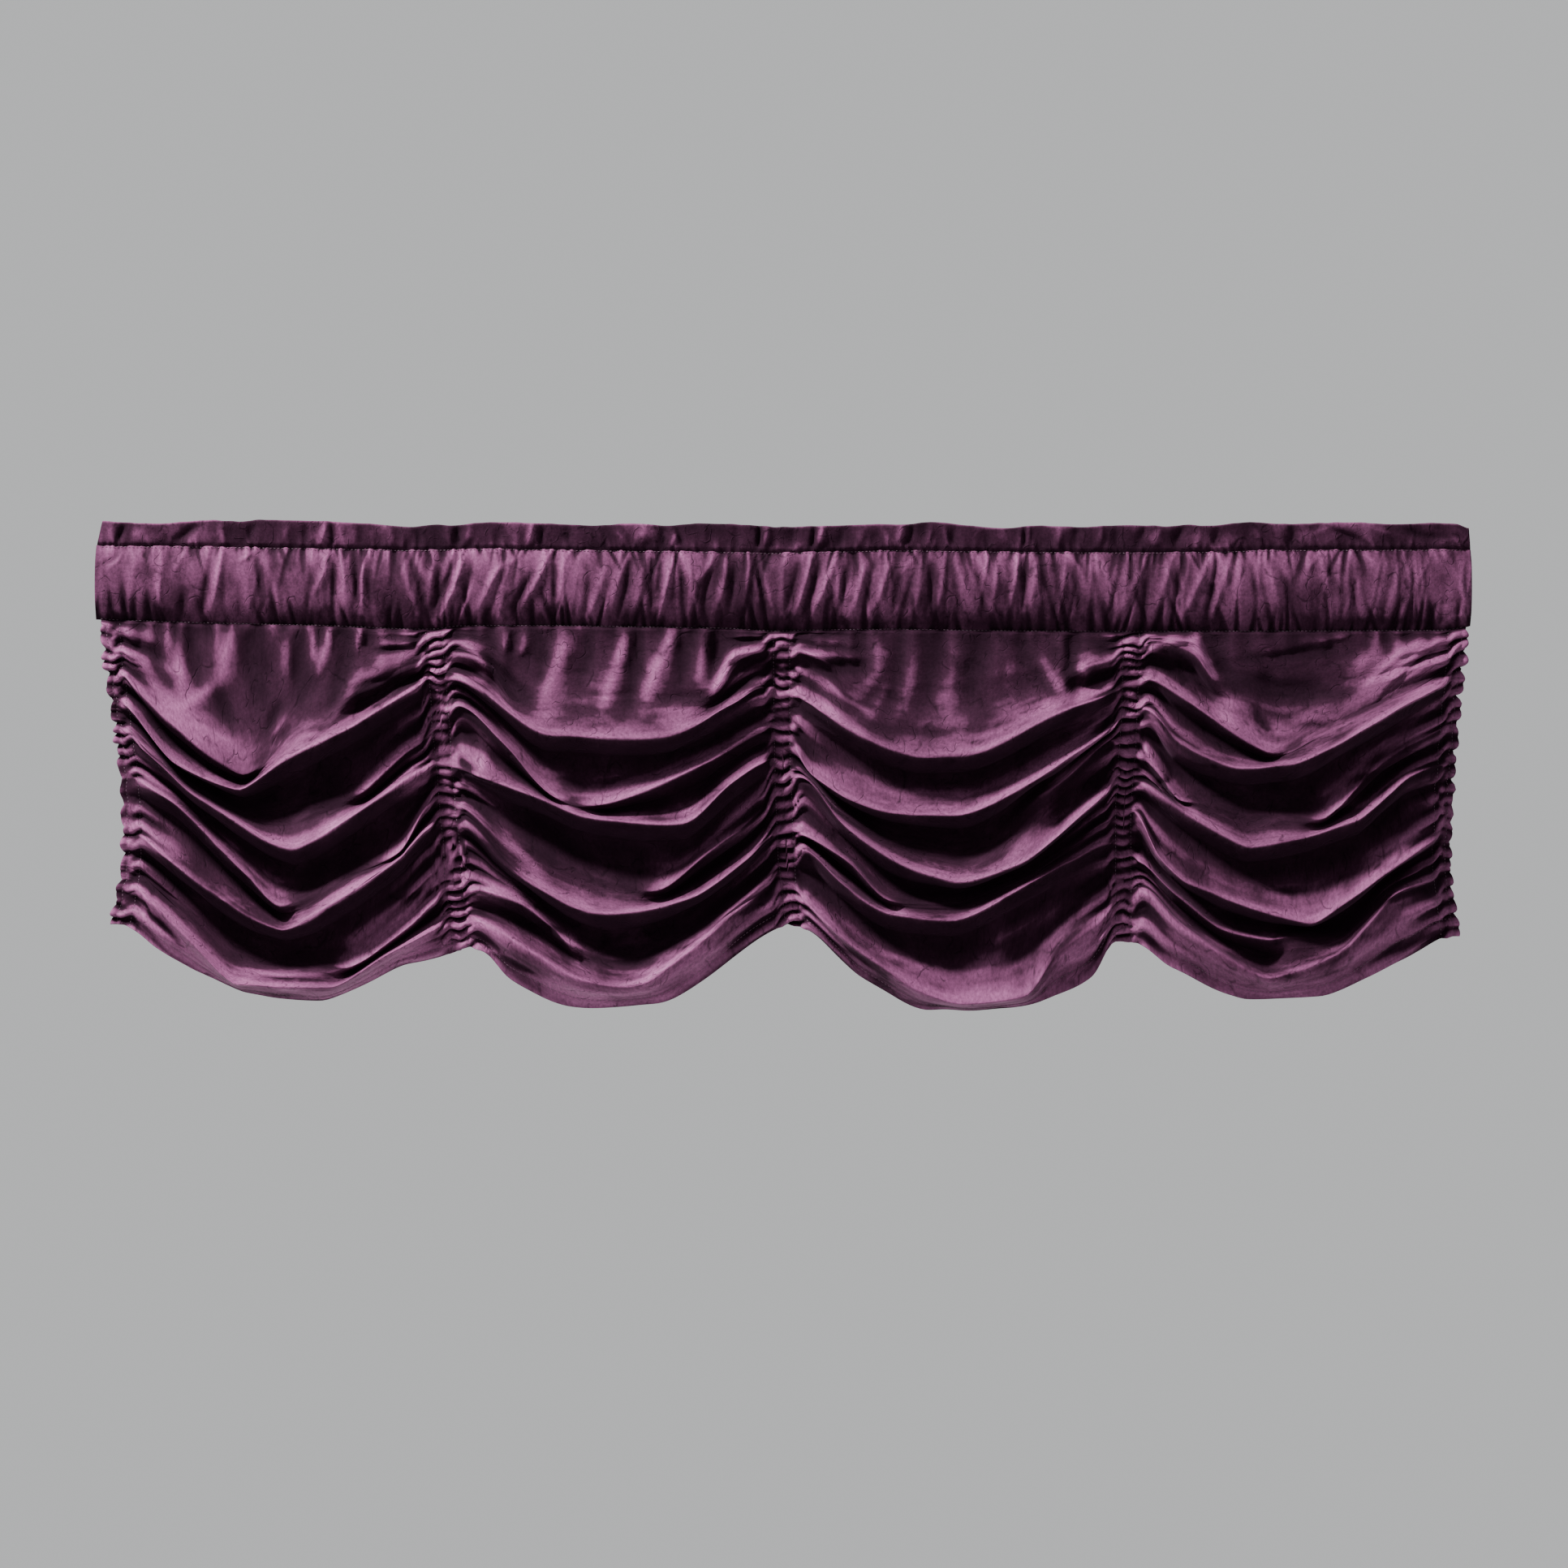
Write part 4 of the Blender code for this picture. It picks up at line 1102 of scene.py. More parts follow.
pocketCreases = [
    Crease(147, 677, 143, 688, 132, 697, 2.0, 2.4),
    Crease(140, 682, 136, 690, 120, 694, -2.0, 2.2),
    Crease(165, 677, 163, 700, 160, 735, 1.6, 5.0),
    Crease(120, 756, 138, 752, 160, 756, 1.6, 2.6),
    Crease(196, 674, 195, 712, 192, 756, 3.2, 3.6),
    Crease(223, 677, 219, 690, 212, 702, 1.8, 2.4),
    Crease(226, 728, 222, 745, 216, 765, -2.4, 4.0),
    Crease(257, 685, 252, 720, 244, 758, -3.0, 3.6),
    Crease(270, 672, 267, 708, 257, 757, 4.2, 4.2),
    Crease(309, 673, 303, 684, 290, 690, 2.2, 2.2),
    Crease(313, 682, 317, 706, 322, 735, -3.4, 3.0),
    Crease(300, 700, 303, 730, 306, 762, 2.0, 4.6),
    Crease(323, 676, 333, 715, 350, 762, 2.2, 3.6),
    Crease(391, 675, 398, 702, 382, 732, 3.2, 3.6),
    Crease(379, 700, 381, 718, 372, 765, -2.4, 2.8),
    Crease(408, 675, 404, 682, 398, 690, 1.8, 2.0),
    Crease(409, 690, 409, 720, 407, 765, -3.8, 2.8),
    Crease(416, 673, 421, 702, 424, 745, 3.2, 3.2),
    Crease(436, 684, 437, 715, 440, 748, -3.6, 2.6),
    Crease(447, 678, 444, 722, 446, 769, 3.8, 2.2),
    Crease(455, 690, 453, 720, 456, 762, -1.8, 2.2),
    Crease(493, 678, 501, 718, 520, 768, 2.8, 2.8),
    Crease(503, 684, 514, 718, 527, 760, -3.2, 2.4),
    Crease(511, 677, 518, 700, 526, 716, 2.0, 2.6),
    Crease(533, 680, 529, 712, 526, 742, 2.4, 2.8),
    Crease(541, 684, 538, 720, 532, 758, -2.8, 2.8),
    Crease(567, 676, 561, 716, 535, 771, 5.4, 3.0),
    Crease(557, 688, 549, 715, 532, 748, -3.0, 2.8),
    Crease(578, 688, 576, 714, 566, 752, -2.4, 2.8),
    Crease(577, 725, 572, 745, 560, 769, 2.6, 2.4),
    Crease(622, 690, 602, 720, 587, 762, 4.0, 3.6),
    Crease(600, 740, 596, 755, 598, 771, -3.2, 3.6),
    Crease(640, 675, 637, 684, 630, 692, 2.0, 2.2),
    Crease(620, 725, 617, 742, 612, 768, 2.4, 2.6),
    Crease(652, 710, 640, 730, 630, 757, -3.8, 3.2),
    Crease(673, 676, 664, 708, 642, 745, 4.4, 3.8),
    Crease(681, 684, 682, 720, 680, 765, -3.4, 2.8),
    Crease(693, 688, 692, 715, 690, 750, 2.0, 3.6),
    Crease(722, 694, 723, 730, 716, 765, -2.0, 3.0),
    Crease(746, 688, 737, 725, 722, 766, 2.2, 3.6),
    Crease(772, 678, 764, 704, 752, 742, 2.4, 3.4),
    Crease(776, 690, 770, 722, 762, 757, -2.6, 3.4),
    Crease(794, 688, 788, 718, 786, 752, 2.0, 3.6),
    Crease(803, 686, 802, 720, 800, 765, -2.6, 2.6),
    Crease(812, 688, 811, 712, 803, 742, -2.2, 2.4),
    Crease(828, 678, 822, 714, 810, 764, 4.2, 3.2),
    Crease(836, 688, 840, 718, 842, 752, -3.4, 2.6),
    Crease(846, 682, 851, 706, 848, 737, 2.4, 3.0),
    Crease(878, 678, 872, 698, 857, 716, 2.8, 2.8),
    Crease(874, 704, 868, 728, 866, 763, -4.0, 3.2),
    Crease(854, 725, 857, 745, 858, 769, 2.2, 2.4),
    Crease(888, 678, 893, 706, 880, 752, 3.6, 3.4),
    Crease(905, 688, 903, 716, 897, 752, -2.8, 2.8),
    Crease(926, 678, 921, 706, 917, 747, 3.2, 2.6),
    Crease(930, 684, 936, 716, 946, 754, -4.4, 2.2),
    Crease(940, 706, 947, 730, 953, 762, 2.0, 2.4),
    Crease(966, 681, 963, 712, 964, 754, 2.0, 3.6),
    Crease(998, 680, 992, 714, 975, 770, 4.0, 3.0),
    Crease(983, 690, 979, 716, 968, 748, -2.2, 3.0),
    Crease(1010, 690, 1002, 718, 990, 755, -3.4, 2.6),
    Crease(1028, 679, 1020, 712, 997, 763, 4.2, 4.0),
    Crease(1046, 690, 1041, 718, 1030, 757, -2.8, 3.2),
    Crease(1058, 680, 1061, 712, 1047, 760, 2.8, 3.6),
    Crease(1076, 692, 1071, 718, 1062, 757, -3.0, 3.0),
    Crease(1096, 678, 1091, 710, 1071, 760, 4.0, 3.2),
    Crease(1109, 700, 1106, 724, 1100, 754, -2.8, 3.4),
    Crease(1127, 678, 1121, 692, 1108, 706, 2.6, 2.4),
    Crease(1124, 706, 1120, 724, 1113, 755, -2.8, 2.6),
    Crease(1133, 678, 1136, 708, 1124, 755, 3.2, 3.2),
    Crease(1147, 690, 1148, 718, 1142, 753, -2.8, 2.6),
    Crease(1157, 678, 1162, 708, 1151, 756, 3.0, 3.2),
    Crease(1171, 690, 1176, 718, 1186, 753, -2.2, 2.6),
    Crease(1174, 678, 1186, 716, 1204, 760, 2.8, 2.8),
    Crease(1200, 694, 1207, 720, 1214, 755, -3.0, 2.4),
    Crease(1205, 680, 1213, 702, 1223, 724, 3.2, 2.6),
    Crease(1226, 688, 1226, 718, 1220, 760, 3.0, 3.0),
    Crease(1254, 680, 1250, 716, 1240, 764, 4.0, 2.4),
    Crease(1264, 684, 1262, 718, 1256, 767, -4.8, 2.4),
    Crease(1271, 680, 1275, 712, 1267, 755, 3.6, 4.0),
    Crease(1284, 698, 1292, 726, 1301, 762, -3.4, 2.6),
    Crease(1314, 682, 1310, 720, 1301, 770, 3.0, 3.0),
    Crease(1322, 679, 1331, 702, 1343, 730, 2.6, 2.4),
    Crease(1321, 704, 1328, 728, 1330, 755, -2.4, 2.4),
    Crease(1346, 692, 1352, 718, 1356, 750, -2.4, 2.6),
    Crease(1356, 680, 1364, 708, 1379, 748, 2.6, 2.8),
    Crease(1406, 679, 1402, 708, 1392, 748, 2.2, 3.2),
    Crease(1419, 692, 1414, 718, 1408, 755, -2.4, 3.0),
    Crease(1444, 680, 1438, 710, 1423, 752, 3.2, 3.8),
    Crease(1457, 688, 1452, 718, 1444, 760, -3.6, 2.8),
    Crease(1490, 679, 1478, 716, 1457, 762, 4.2, 3.6),
    Crease(1500, 684, 1495, 720, 1484, 767, -4.8, 2.6),
    Crease(1514, 679, 1510, 710, 1494, 756, 4.0, 3.0),
    Crease(1531, 680, 1527, 712, 1524, 755, 2.4, 4.4),
    Crease(1539, 688, 1546, 714, 1549, 754, -2.6, 2.6),
    Crease(1560, 680, 1567, 708, 1577, 747, 2.6, 2.8),
    Crease(1572, 690, 1584, 716, 1597, 748, -2.8, 2.6),
    Crease(1594, 678, 1590, 685, 1581, 692, 2.0, 2.2),
    Crease(1603, 680, 1613, 696, 1603, 720, 2.0, 2.8),
    Crease(1627, 677, 1620, 690, 1610, 700, 2.2, 2.4),
    Crease(1632, 690, 1645, 714, 1660, 740, -2.0, 2.8),
    Crease(1642, 680, 1654, 692, 1668, 704, 1.6, 2.6),
    Crease(1685, 680, 1692, 690, 1702, 702, 1.8, 2.6),
    Crease(1718, 690, 1722, 715, 1716, 745, 1.4, 5.0),
    Crease(1762, 752, 1780, 742, 1806, 738, -1.8, 3.0),
    Crease(1782, 767, 1796, 759, 1813, 757, 2.2, 2.2),
    Crease(1640, 765, 1710, 765, 1782, 764, -2.4, 3.4),
    Crease(1000, 770, 1080, 766, 1165, 770, -2.0, 3.4),
    Crease(1175, 770, 1215, 768, 1250, 772, -1.6, 3.0),
]


# A sleeve open at both ends, with frontShare of its rows on the front. The extrusion
# doubles it, and the copy becomes the inner side of its wall.
def makeSleeve(name):
    bm = bmesh.new()
    lines, around = pocket["lines"], pocket["around"]
    bmesh.ops.create_grid(bm, x_segments=lines - 1, y_segments=around, size=0.5)
    frontShare = pocket["frontShare"]
    for vert in bm.verts:
        share = 0.5 - vert.co.y
        if share < frontShare:
            turn = share / frontShare
        else:
            turn = 1 + (share - frontShare) / (1 - frontShare)
        vert.co = (vert.co.x, math.sin(turn * math.pi), math.cos(turn * math.pi))
    bmesh.ops.remove_doubles(bm, verts=bm.verts, dist=0.0001)
    made = bmesh.ops.extrude_face_region(bm, geom=list(bm.faces))
    inner = {v for v in made["geom"] if isinstance(v, bmesh.types.BMVert)}
    inside = np.array([v in inner for v in bm.verts])
    return meshFrom(bm, name), inside


def makePocket():
    mesh, inside = makeSleeve("pocket_cloth")
    co = readPoints(mesh).astype(float)
    x = pocket["left"] + (co[:, 0] + 0.5) * (pocket["right"] - pocket["left"])
    sideways, up = co[:, 1], co[:, 2]
    front = sideways > 0
    wall = np.where(inside, pocket["wall"], 0.0)
    high = pocket["height"] / 2 - wall
    out = np.where(front, pocket["front"], pocket["back"]) - wall
    level = np.sign(up) * np.abs(up) ** pocket["round"]
    bulge = 1 - np.abs(level) ** pocket["flat"]
    z = -pocket["height"] / 2 + high * level
    toTop, toFoot = -z, z + pocket["height"]
    rise = (1 + level) / 2
    z = z - seamDip(x, "top") * rise - seamDip(x, "foot") * (1 - rise)

    # folds from seam to seam, softer on the right, and dents between them
    nearSeam = smooth(bulge * 2.2 + 0.12)
    onRight = smooth(x / 0.10)
    folds = (1.0 - 0.30 * onRight) * creaseLift(pocketCreases, x, z) * nearSeam
    fine = seamPuckers(pocket["fineTop"], x, toTop) - seamPuckers(pocket["fineFoot"], x, toFoot)
    folds = folds + (0.40 + 0.25 * onRight) * fine * bulge
    dents = spread(pocket["smallDents"], x, z) + spread(pocket["broadDents"], x + 0.3 * z, z)

    # puckers at the two seams, calmer at the open ends
    topPuckers = seamPuckers(pocket["topPuckers"], x, toTop)
    footPuckers = seamPuckers(pocket["footPuckers"], x, toFoot)
    clear = smooth((0.62 - np.abs(x)) / 0.09)
    topDips = seamPuckers(pocket["topDips"], x, toTop) * (0.15 + 0.85 * clear)
    seams = topPuckers - 0.0010 - 0.9 * topDips - 1.4 * footPuckers
    seams = seams * (0.35 + 0.65 * nearSeam)
    ends = smooth((pocket["right"] - np.abs(x)) / 0.03)
    onFront = folds + seams * (0.3 + 0.7 * ends) + dents * bulge
    drawn = np.where(front, onFront, 0.3 * folds + 0.3 * seams)
    y = np.where(front, -1.0, 1.0) * (out * bulge + drawn + 0.0004)
    z = z + 0.08 * topPuckers * hump(toTop, 0.006, 1)
    setPoints(mesh, np.stack([x, y, z], axis=1))

    # on the flat cloth the back lies below the front, with its own part of the pattern
    addClothMap(mesh, x * pocket["fullness"], np.where(front, z, -0.16 - z) + 0.3)
    # painted light: painted highlights on raised folds and puckers, painted shade in the dips and
    # at the foot, a painted highlight along the top edge, with random patches; the inside gets
    # painted shade
    paintedLighting = pocket["paintedShading"]
    paintedShading = paintedLighting["plain"] + paintedLighting["folds"] * folds + paintedLighting["topPuckers"] * (topPuckers - 0.0008)
    paintedShading = paintedShading - paintedLighting["topDips"] * topDips - paintedLighting["footPuckers"] * footPuckers
    paintedShading = paintedShading - 0.14 * hump(toFoot, 0.008, 1) + 0.10 * hump(toTop, 0.010, 1)
    paintedShading = paintedShading * (1 + spread(pocket["patches"], x, z))
    addPaintedLight(mesh, np.where(inside, pocket["insidePaintedShade"], paintedShading))
    mesh.shade_smooth()
    bm = bmesh.new()
    bm.from_mesh(mesh)
    bmesh.ops.recalc_face_normals(bm, faces=bm.faces)
    bm.to_mesh(mesh)
    bm.free()
    print("pocket", len(mesh.polygons), "faces")
    return addToScene("pocket_cloth", mesh)


pocketCloth = makePocket()
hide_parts("rod_pocket")
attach(pocketCloth, "root")

heading = {
    "lines": 760,
    "rows": 16,
    "thick": 0.0034,
    "sunk": 0.0030,
    "seat": 0.0026,
    "leansBack": 0.0016,
    "puckers": Puckers(33, 0.011, 0.0062),
    "edgeWave": Noise(0.0003, 36, 0.008, 1.0),
    "sway": Noise(0.0022, 37, 0.034, 0.080),
    "dents": Noise(0.0007, 39, 0.012, 0.011),
    "patches": Noise(0.35, 40, 0.045, 0.030),
    "roundFrom": 0.86,
    "topHighlightFrom": 0.90,
    "endSlant": (0.006, 0.002),
    "paintedShading": {"plain": 0.45, "sway": 110, "puckers": 70, "base": 0.16, "top": 0.34},
    "fullness": 1.25,
}

# How tall the heading stands at places across it, in grid steps.
HeadingEdge = namedtuple("HeadingEdge", "across tall")
headingEdges = [
    HeadingEdge(117, 31.0),
    HeadingEdge(190, 28.6),
    HeadingEdge(255, 33.4),
    HeadingEdge(290, 32.2),
    HeadingEdge(320, 34.8),
    HeadingEdge(440, 32.6),
    HeadingEdge(505, 29.0),
    HeadingEdge(535, 31.6),
    HeadingEdge(552, 29.6),
    HeadingEdge(592, 33.0),
    HeadingEdge(680, 32.4),
    HeadingEdge(730, 31.0),
    HeadingEdge(780, 34.4),
    HeadingEdge(820, 32.0),
    HeadingEdge(860, 35.4),
    HeadingEdge(925, 34.4),
    HeadingEdge(960, 32.4),
    HeadingEdge(1000, 32.6),
    HeadingEdge(1060, 33.2),
    HeadingEdge(1110, 32.4),
    HeadingEdge(1148, 35.8),
    HeadingEdge(1190, 32.4),
    HeadingEdge(1238, 29.0),
    HeadingEdge(1275, 33.0),
    HeadingEdge(1330, 31.6),
    HeadingEdge(1380, 34.0),
    HeadingEdge(1420, 33.6),
    HeadingEdge(1440, 32.2),
    HeadingEdge(1465, 34.8),
    HeadingEdge(1482, 32.6),
    HeadingEdge(1540, 35.6),
    HeadingEdge(1580, 32.6),
    HeadingEdge(1660, 34.4),
    HeadingEdge(1720, 32.4),
    HeadingEdge(1770, 33.4),
    HeadingEdge(1796, 32.6),
    HeadingEdge(1812, 28.0),
]
headingCreases = [
    Crease(125, 650, 130, 658, 134, 672, 2.0, 4.4),
    Crease(148, 645, 142, 658, 139, 672, -2.6, 3.0),
    Crease(165, 650, 168, 660, 170, 672, 1.4, 6.0),
    Crease(212, 668, 226, 655, 244, 645, -3.0, 4.0),
    Crease(268, 642, 270, 655, 273, 670, 2.4, 4.0),
    Crease(308, 645, 304, 658, 300, 672, -2.6, 4.0),
    Crease(352, 645, 348, 658, 345, 672, 2.0, 4.0),
    Crease(372, 645, 372, 658, 370, 672, -2.0, 4.0),
    Crease(397, 640, 396, 655, 391, 672, 3.8, 3.4),
    Crease(405, 645, 406, 658, 404, 674, -2.8, 2.4),
    Crease(414, 648, 418, 660, 420, 672, 2.0, 2.6),
    Crease(440, 645, 442, 660, 440, 674, -1.8, 5.0),
    Crease(470, 645, 478, 656, 480, 672, 2.6, 4.0),
    Crease(510, 648, 512, 660, 512, 674, -2.2, 4.0),
    Crease(546, 645, 550, 658, 548, 672, 2.2, 3.6),
    Crease(562, 646, 561, 658, 563, 674, -2.8, 3.0),
    Crease(576, 645, 574, 658, 570, 672, 2.0, 3.6),
    Crease(612, 646, 614, 660, 610, 674, -1.8, 6.0),
    Crease(655, 640, 652, 655, 649, 671, 4.0, 3.0),
    Crease(667, 648, 664, 660, 662, 674, -3.4, 2.6),
    Crease(700, 648, 697, 660, 700, 674, -2.0, 5.0),
    Crease(733, 648, 738, 660, 741, 672, 2.2, 3.2),
    Crease(757, 654, 764, 662, 768, 673, 2.0, 2.8),
    Crease(795, 643, 791, 658, 788, 672, 1.8, 4.4),
    Crease(816, 645, 815, 660, 816, 674, -2.4, 4.0),
    Crease(829, 656, 829, 664, 822, 674, 2.8, 2.4),
    Crease(832, 648, 837, 662, 842, 675, -2.4, 2.2),
    Crease(862, 645, 866, 658, 864, 674, 1.6, 4.0),
    Crease(905, 646, 906, 660, 904, 676, -1.8, 5.0),
    Crease(934, 643, 934, 658, 932, 678, -5.0, 1.7),
    Crease(943, 643, 943, 658, 939, 674, 3.6, 3.4),
    Crease(975, 648, 976, 660, 974, 676, -2.0, 5.0),
    Crease(1003, 646, 1001, 660, 999, 677, -4.0, 2.0),
    Crease(1012, 643, 1011, 658, 1006, 674, 3.8, 3.0),
    Crease(1038, 648, 1036, 662, 1030, 676, -1.8, 5.0),
    Crease(1062, 645, 1062, 658, 1060, 674, 1.4, 5.0),
    Crease(1092, 658, 1094, 666, 1096, 675, 2.2, 2.2),
    Crease(1112, 642, 1109, 656, 1101, 672, 3.0, 3.4),
    Crease(1124, 645, 1121, 658, 1112, 674, -2.8, 3.0),
    Crease(1146, 643, 1145, 658, 1142, 672, 2.4, 3.6),
    Crease(1163, 650, 1165, 662, 1168, 674, 2.0, 2.6),
    Crease(1176, 646, 1174, 660, 1176, 676, -1.8, 3.4),
    Crease(1212, 650, 1216, 662, 1212, 677, -2.0, 6.0),
    Crease(1262, 646, 1262, 660, 1261, 677, -2.6, 1.6),
    Crease(1268, 644, 1267, 658, 1266, 676, 1.8, 1.6),
    Crease(1302, 645, 1306, 656, 1301, 672, 2.4, 4.0),
    Crease(1328, 648, 1326, 660, 1328, 677, -2.2, 4.0),
    Crease(1355, 645, 1357, 658, 1352, 674, 2.0, 3.6),
    Crease(1374, 648, 1376, 660, 1374, 677, -1.8, 3.6),
    Crease(1412, 645, 1408, 658, 1400, 677, -2.8, 5.0),
    Crease(1430, 650, 1426, 660, 1422, 674, 1.8, 3.0),
    Crease(1462, 648, 1452, 660, 1450, 677, -2.8, 4.4),
    Crease(1480, 650, 1478, 662, 1474, 674, 1.2, 3.0),
    Crease(1500, 650, 1498, 662, 1492, 677, -2.4, 4.0),
    Crease(1546, 650, 1551, 658, 1557, 672, 2.2, 4.4),
    Crease(1590, 645, 1594, 658, 1588, 675, -3.0, 4.4),
    Crease(1612, 660, 1640, 650, 1668, 648, 1.8, 4.4),
    Crease(1640, 650, 1664, 658, 1690, 672, -2.8, 3.0),
    Crease(1686, 648, 1706, 654, 1728, 662, 1.6, 3.6),
    Crease(1730, 650, 1760, 660, 1800, 662, -2.4, 4.0),
    Crease(1776, 668, 1790, 664, 1806, 664, 1.6, 2.6),
]


# One cloth folded over at the top: its rows go up the front and down the back.
def makeHeading():
    lines, rows = heading["lines"], 2 * heading["rows"]
    obj = makeGrid("heading_cloth", lines, rows)
    mesh = obj.data
    line, row = gridPlaces(mesh, lines, rows)
    around = row / (rows - 1) * 2
    back = around > 1
    rise = np.where(back, 2 - around, around)
    x = pocket["left"] + line / (lines - 1) * (pocket["right"] - pocket["left"])
    edges, talls = zip(*headingEdges)
    tall = layout["step"] * curveThrough(edges, talls, acrossOf(x))
    tall = tall + spread(heading["edgeWave"], x, 0.0)
    dip, sunk = seamDip(x, "top"), heading["sunk"]
    z = -dip - sunk + rise * (tall + sunk)
    base = hump((z + dip).clip(0, 0.045), 0.005)
    sway = creaseLift(headingCreases, x, z) * (1 - 0.6 * base)
    sway = sway + spread(heading["sway"], x + 0.25 * z, z) * rise
    sway = sway + spread(heading["dents"], x, z)
    seat = 1 - smooth((z + dip) / heading["seat"])  # its foot is drawn into the seam
    sway = sway * (1 - 0.9 * seat)
    pinch = seamPuckers(heading["puckers"], x, np.maximum(z + dip, 0.0)) - 0.0012
    rounded = ((rise - heading["roundFrom"]) / (1 - heading["roundFrom"])).clip(0, 1)
    half = heading["thick"] / 2 * np.sqrt(np.clip(1 - rounded**2, 0.0, 1))
    half = half * (1 - 0.8 * seat)
    drawn = np.where(back, 0.3, 0.9) * pinch * (1 - 0.9 * seat)
    y = 0.0001 - 0.0007 * (1 - seat) - heading["leansBack"] * rise - sway
    y = y + np.where(back, half, -half) - drawn
    toEnd = np.clip((np.abs(x) - 0.6) / 0.0375, 0, 1)
    x = x - np.sign(x) * np.where(x < 0, *heading["endSlant"]) * toEnd * rise
    setPoints(mesh, np.stack([x, y, z], axis=1))
    addClothMap(mesh, x * heading["fullness"], z + 0.3 + np.where(back, 0.05, 0.0))
    # painted light: lighter on raised sway and puckers, painted shade at the foot in the seam, a
    # painted highlight along the rounded top, and random patches
    paintedLighting = heading["paintedShading"]
    paintedShading = paintedLighting["plain"] + paintedLighting["sway"] * sway + paintedLighting["puckers"] * pinch - paintedLighting["base"] * base
    topHighlight = smooth((rise - heading["topHighlightFrom"]) / (1 - heading["topHighlightFrom"]))
    paintedShading = paintedShading + paintedLighting["top"] * topHighlight
    addPaintedLight(mesh, paintedShading * (1 + spread(heading["patches"], x, z)))
    mesh.shade_smooth()
    print("heading", len(mesh.polygons), "faces")
    return obj


headingCloth = makeHeading()
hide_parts("heading_frill")
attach(headingCloth, "root")


def addNode(tree, kind, x, y, **values):
    node = tree.nodes.new(kind)
    node.location = (x, y)
    for key, value in values.items():
        setattr(node, key, value)
    return node


def mathNode(tree, x, y, operation, first, second=None, third=None, clamp=False):
    node = addNode(tree, "ShaderNodeMath", x, y, operation=operation, use_clamp=clamp)
    for i, value in enumerate((first, second, third)):
        if value is None:
            continue
        if isinstance(value, (int, float)):
            node.inputs[i].default_value = value
        else:
            tree.links.new(value, node.inputs[i])
    return node.outputs[0]


def noiseNode(tree, x, y, vector, values):
    node = addNode(tree, "ShaderNodeTexNoise", x, y)
    for name, value in values.items():
        node.inputs[name].default_value = value
    tree.links.new(vector, node.inputs["Vector"])
    return node


def mixNode(tree, x, y, share, first, second):
    node = addNode(tree, "ShaderNodeMix", x, y, data_type="RGBA")
    tree.links.new(share, node.inputs["Factor"])
    tree.links.new(first, node.inputs["A"])
    tree.links.new(second, node.inputs["B"])
    return node.outputs["Result"]


# The pile's own pattern. Lengths are in metres on the flat cloth.
pile = {
    "bruise": {"Scale": 26.0, "Detail": 4.0, "Roughness": 0.6},
    "grain": {"Scale": 330.0, "Detail": 3.0, "Roughness": 0.7},
    "warp": {"Scale": 62.0},
    "warpBy": 0.013,
    "flowersScale": 17.0,
    "flowersLoose": 0.85,
    "outlines": ((0.0215, 0.0011), (0.0105, 0.0010)),
    "petalDeep": 0.38,
    "stems": {"Scale": 15.0, "Detail": 1.0},
    "stemThin": 62.0,
    "broken": {"Scale": 85.0},
    "lineDim": 0.56,
    "lineSunk": 0.8,
}


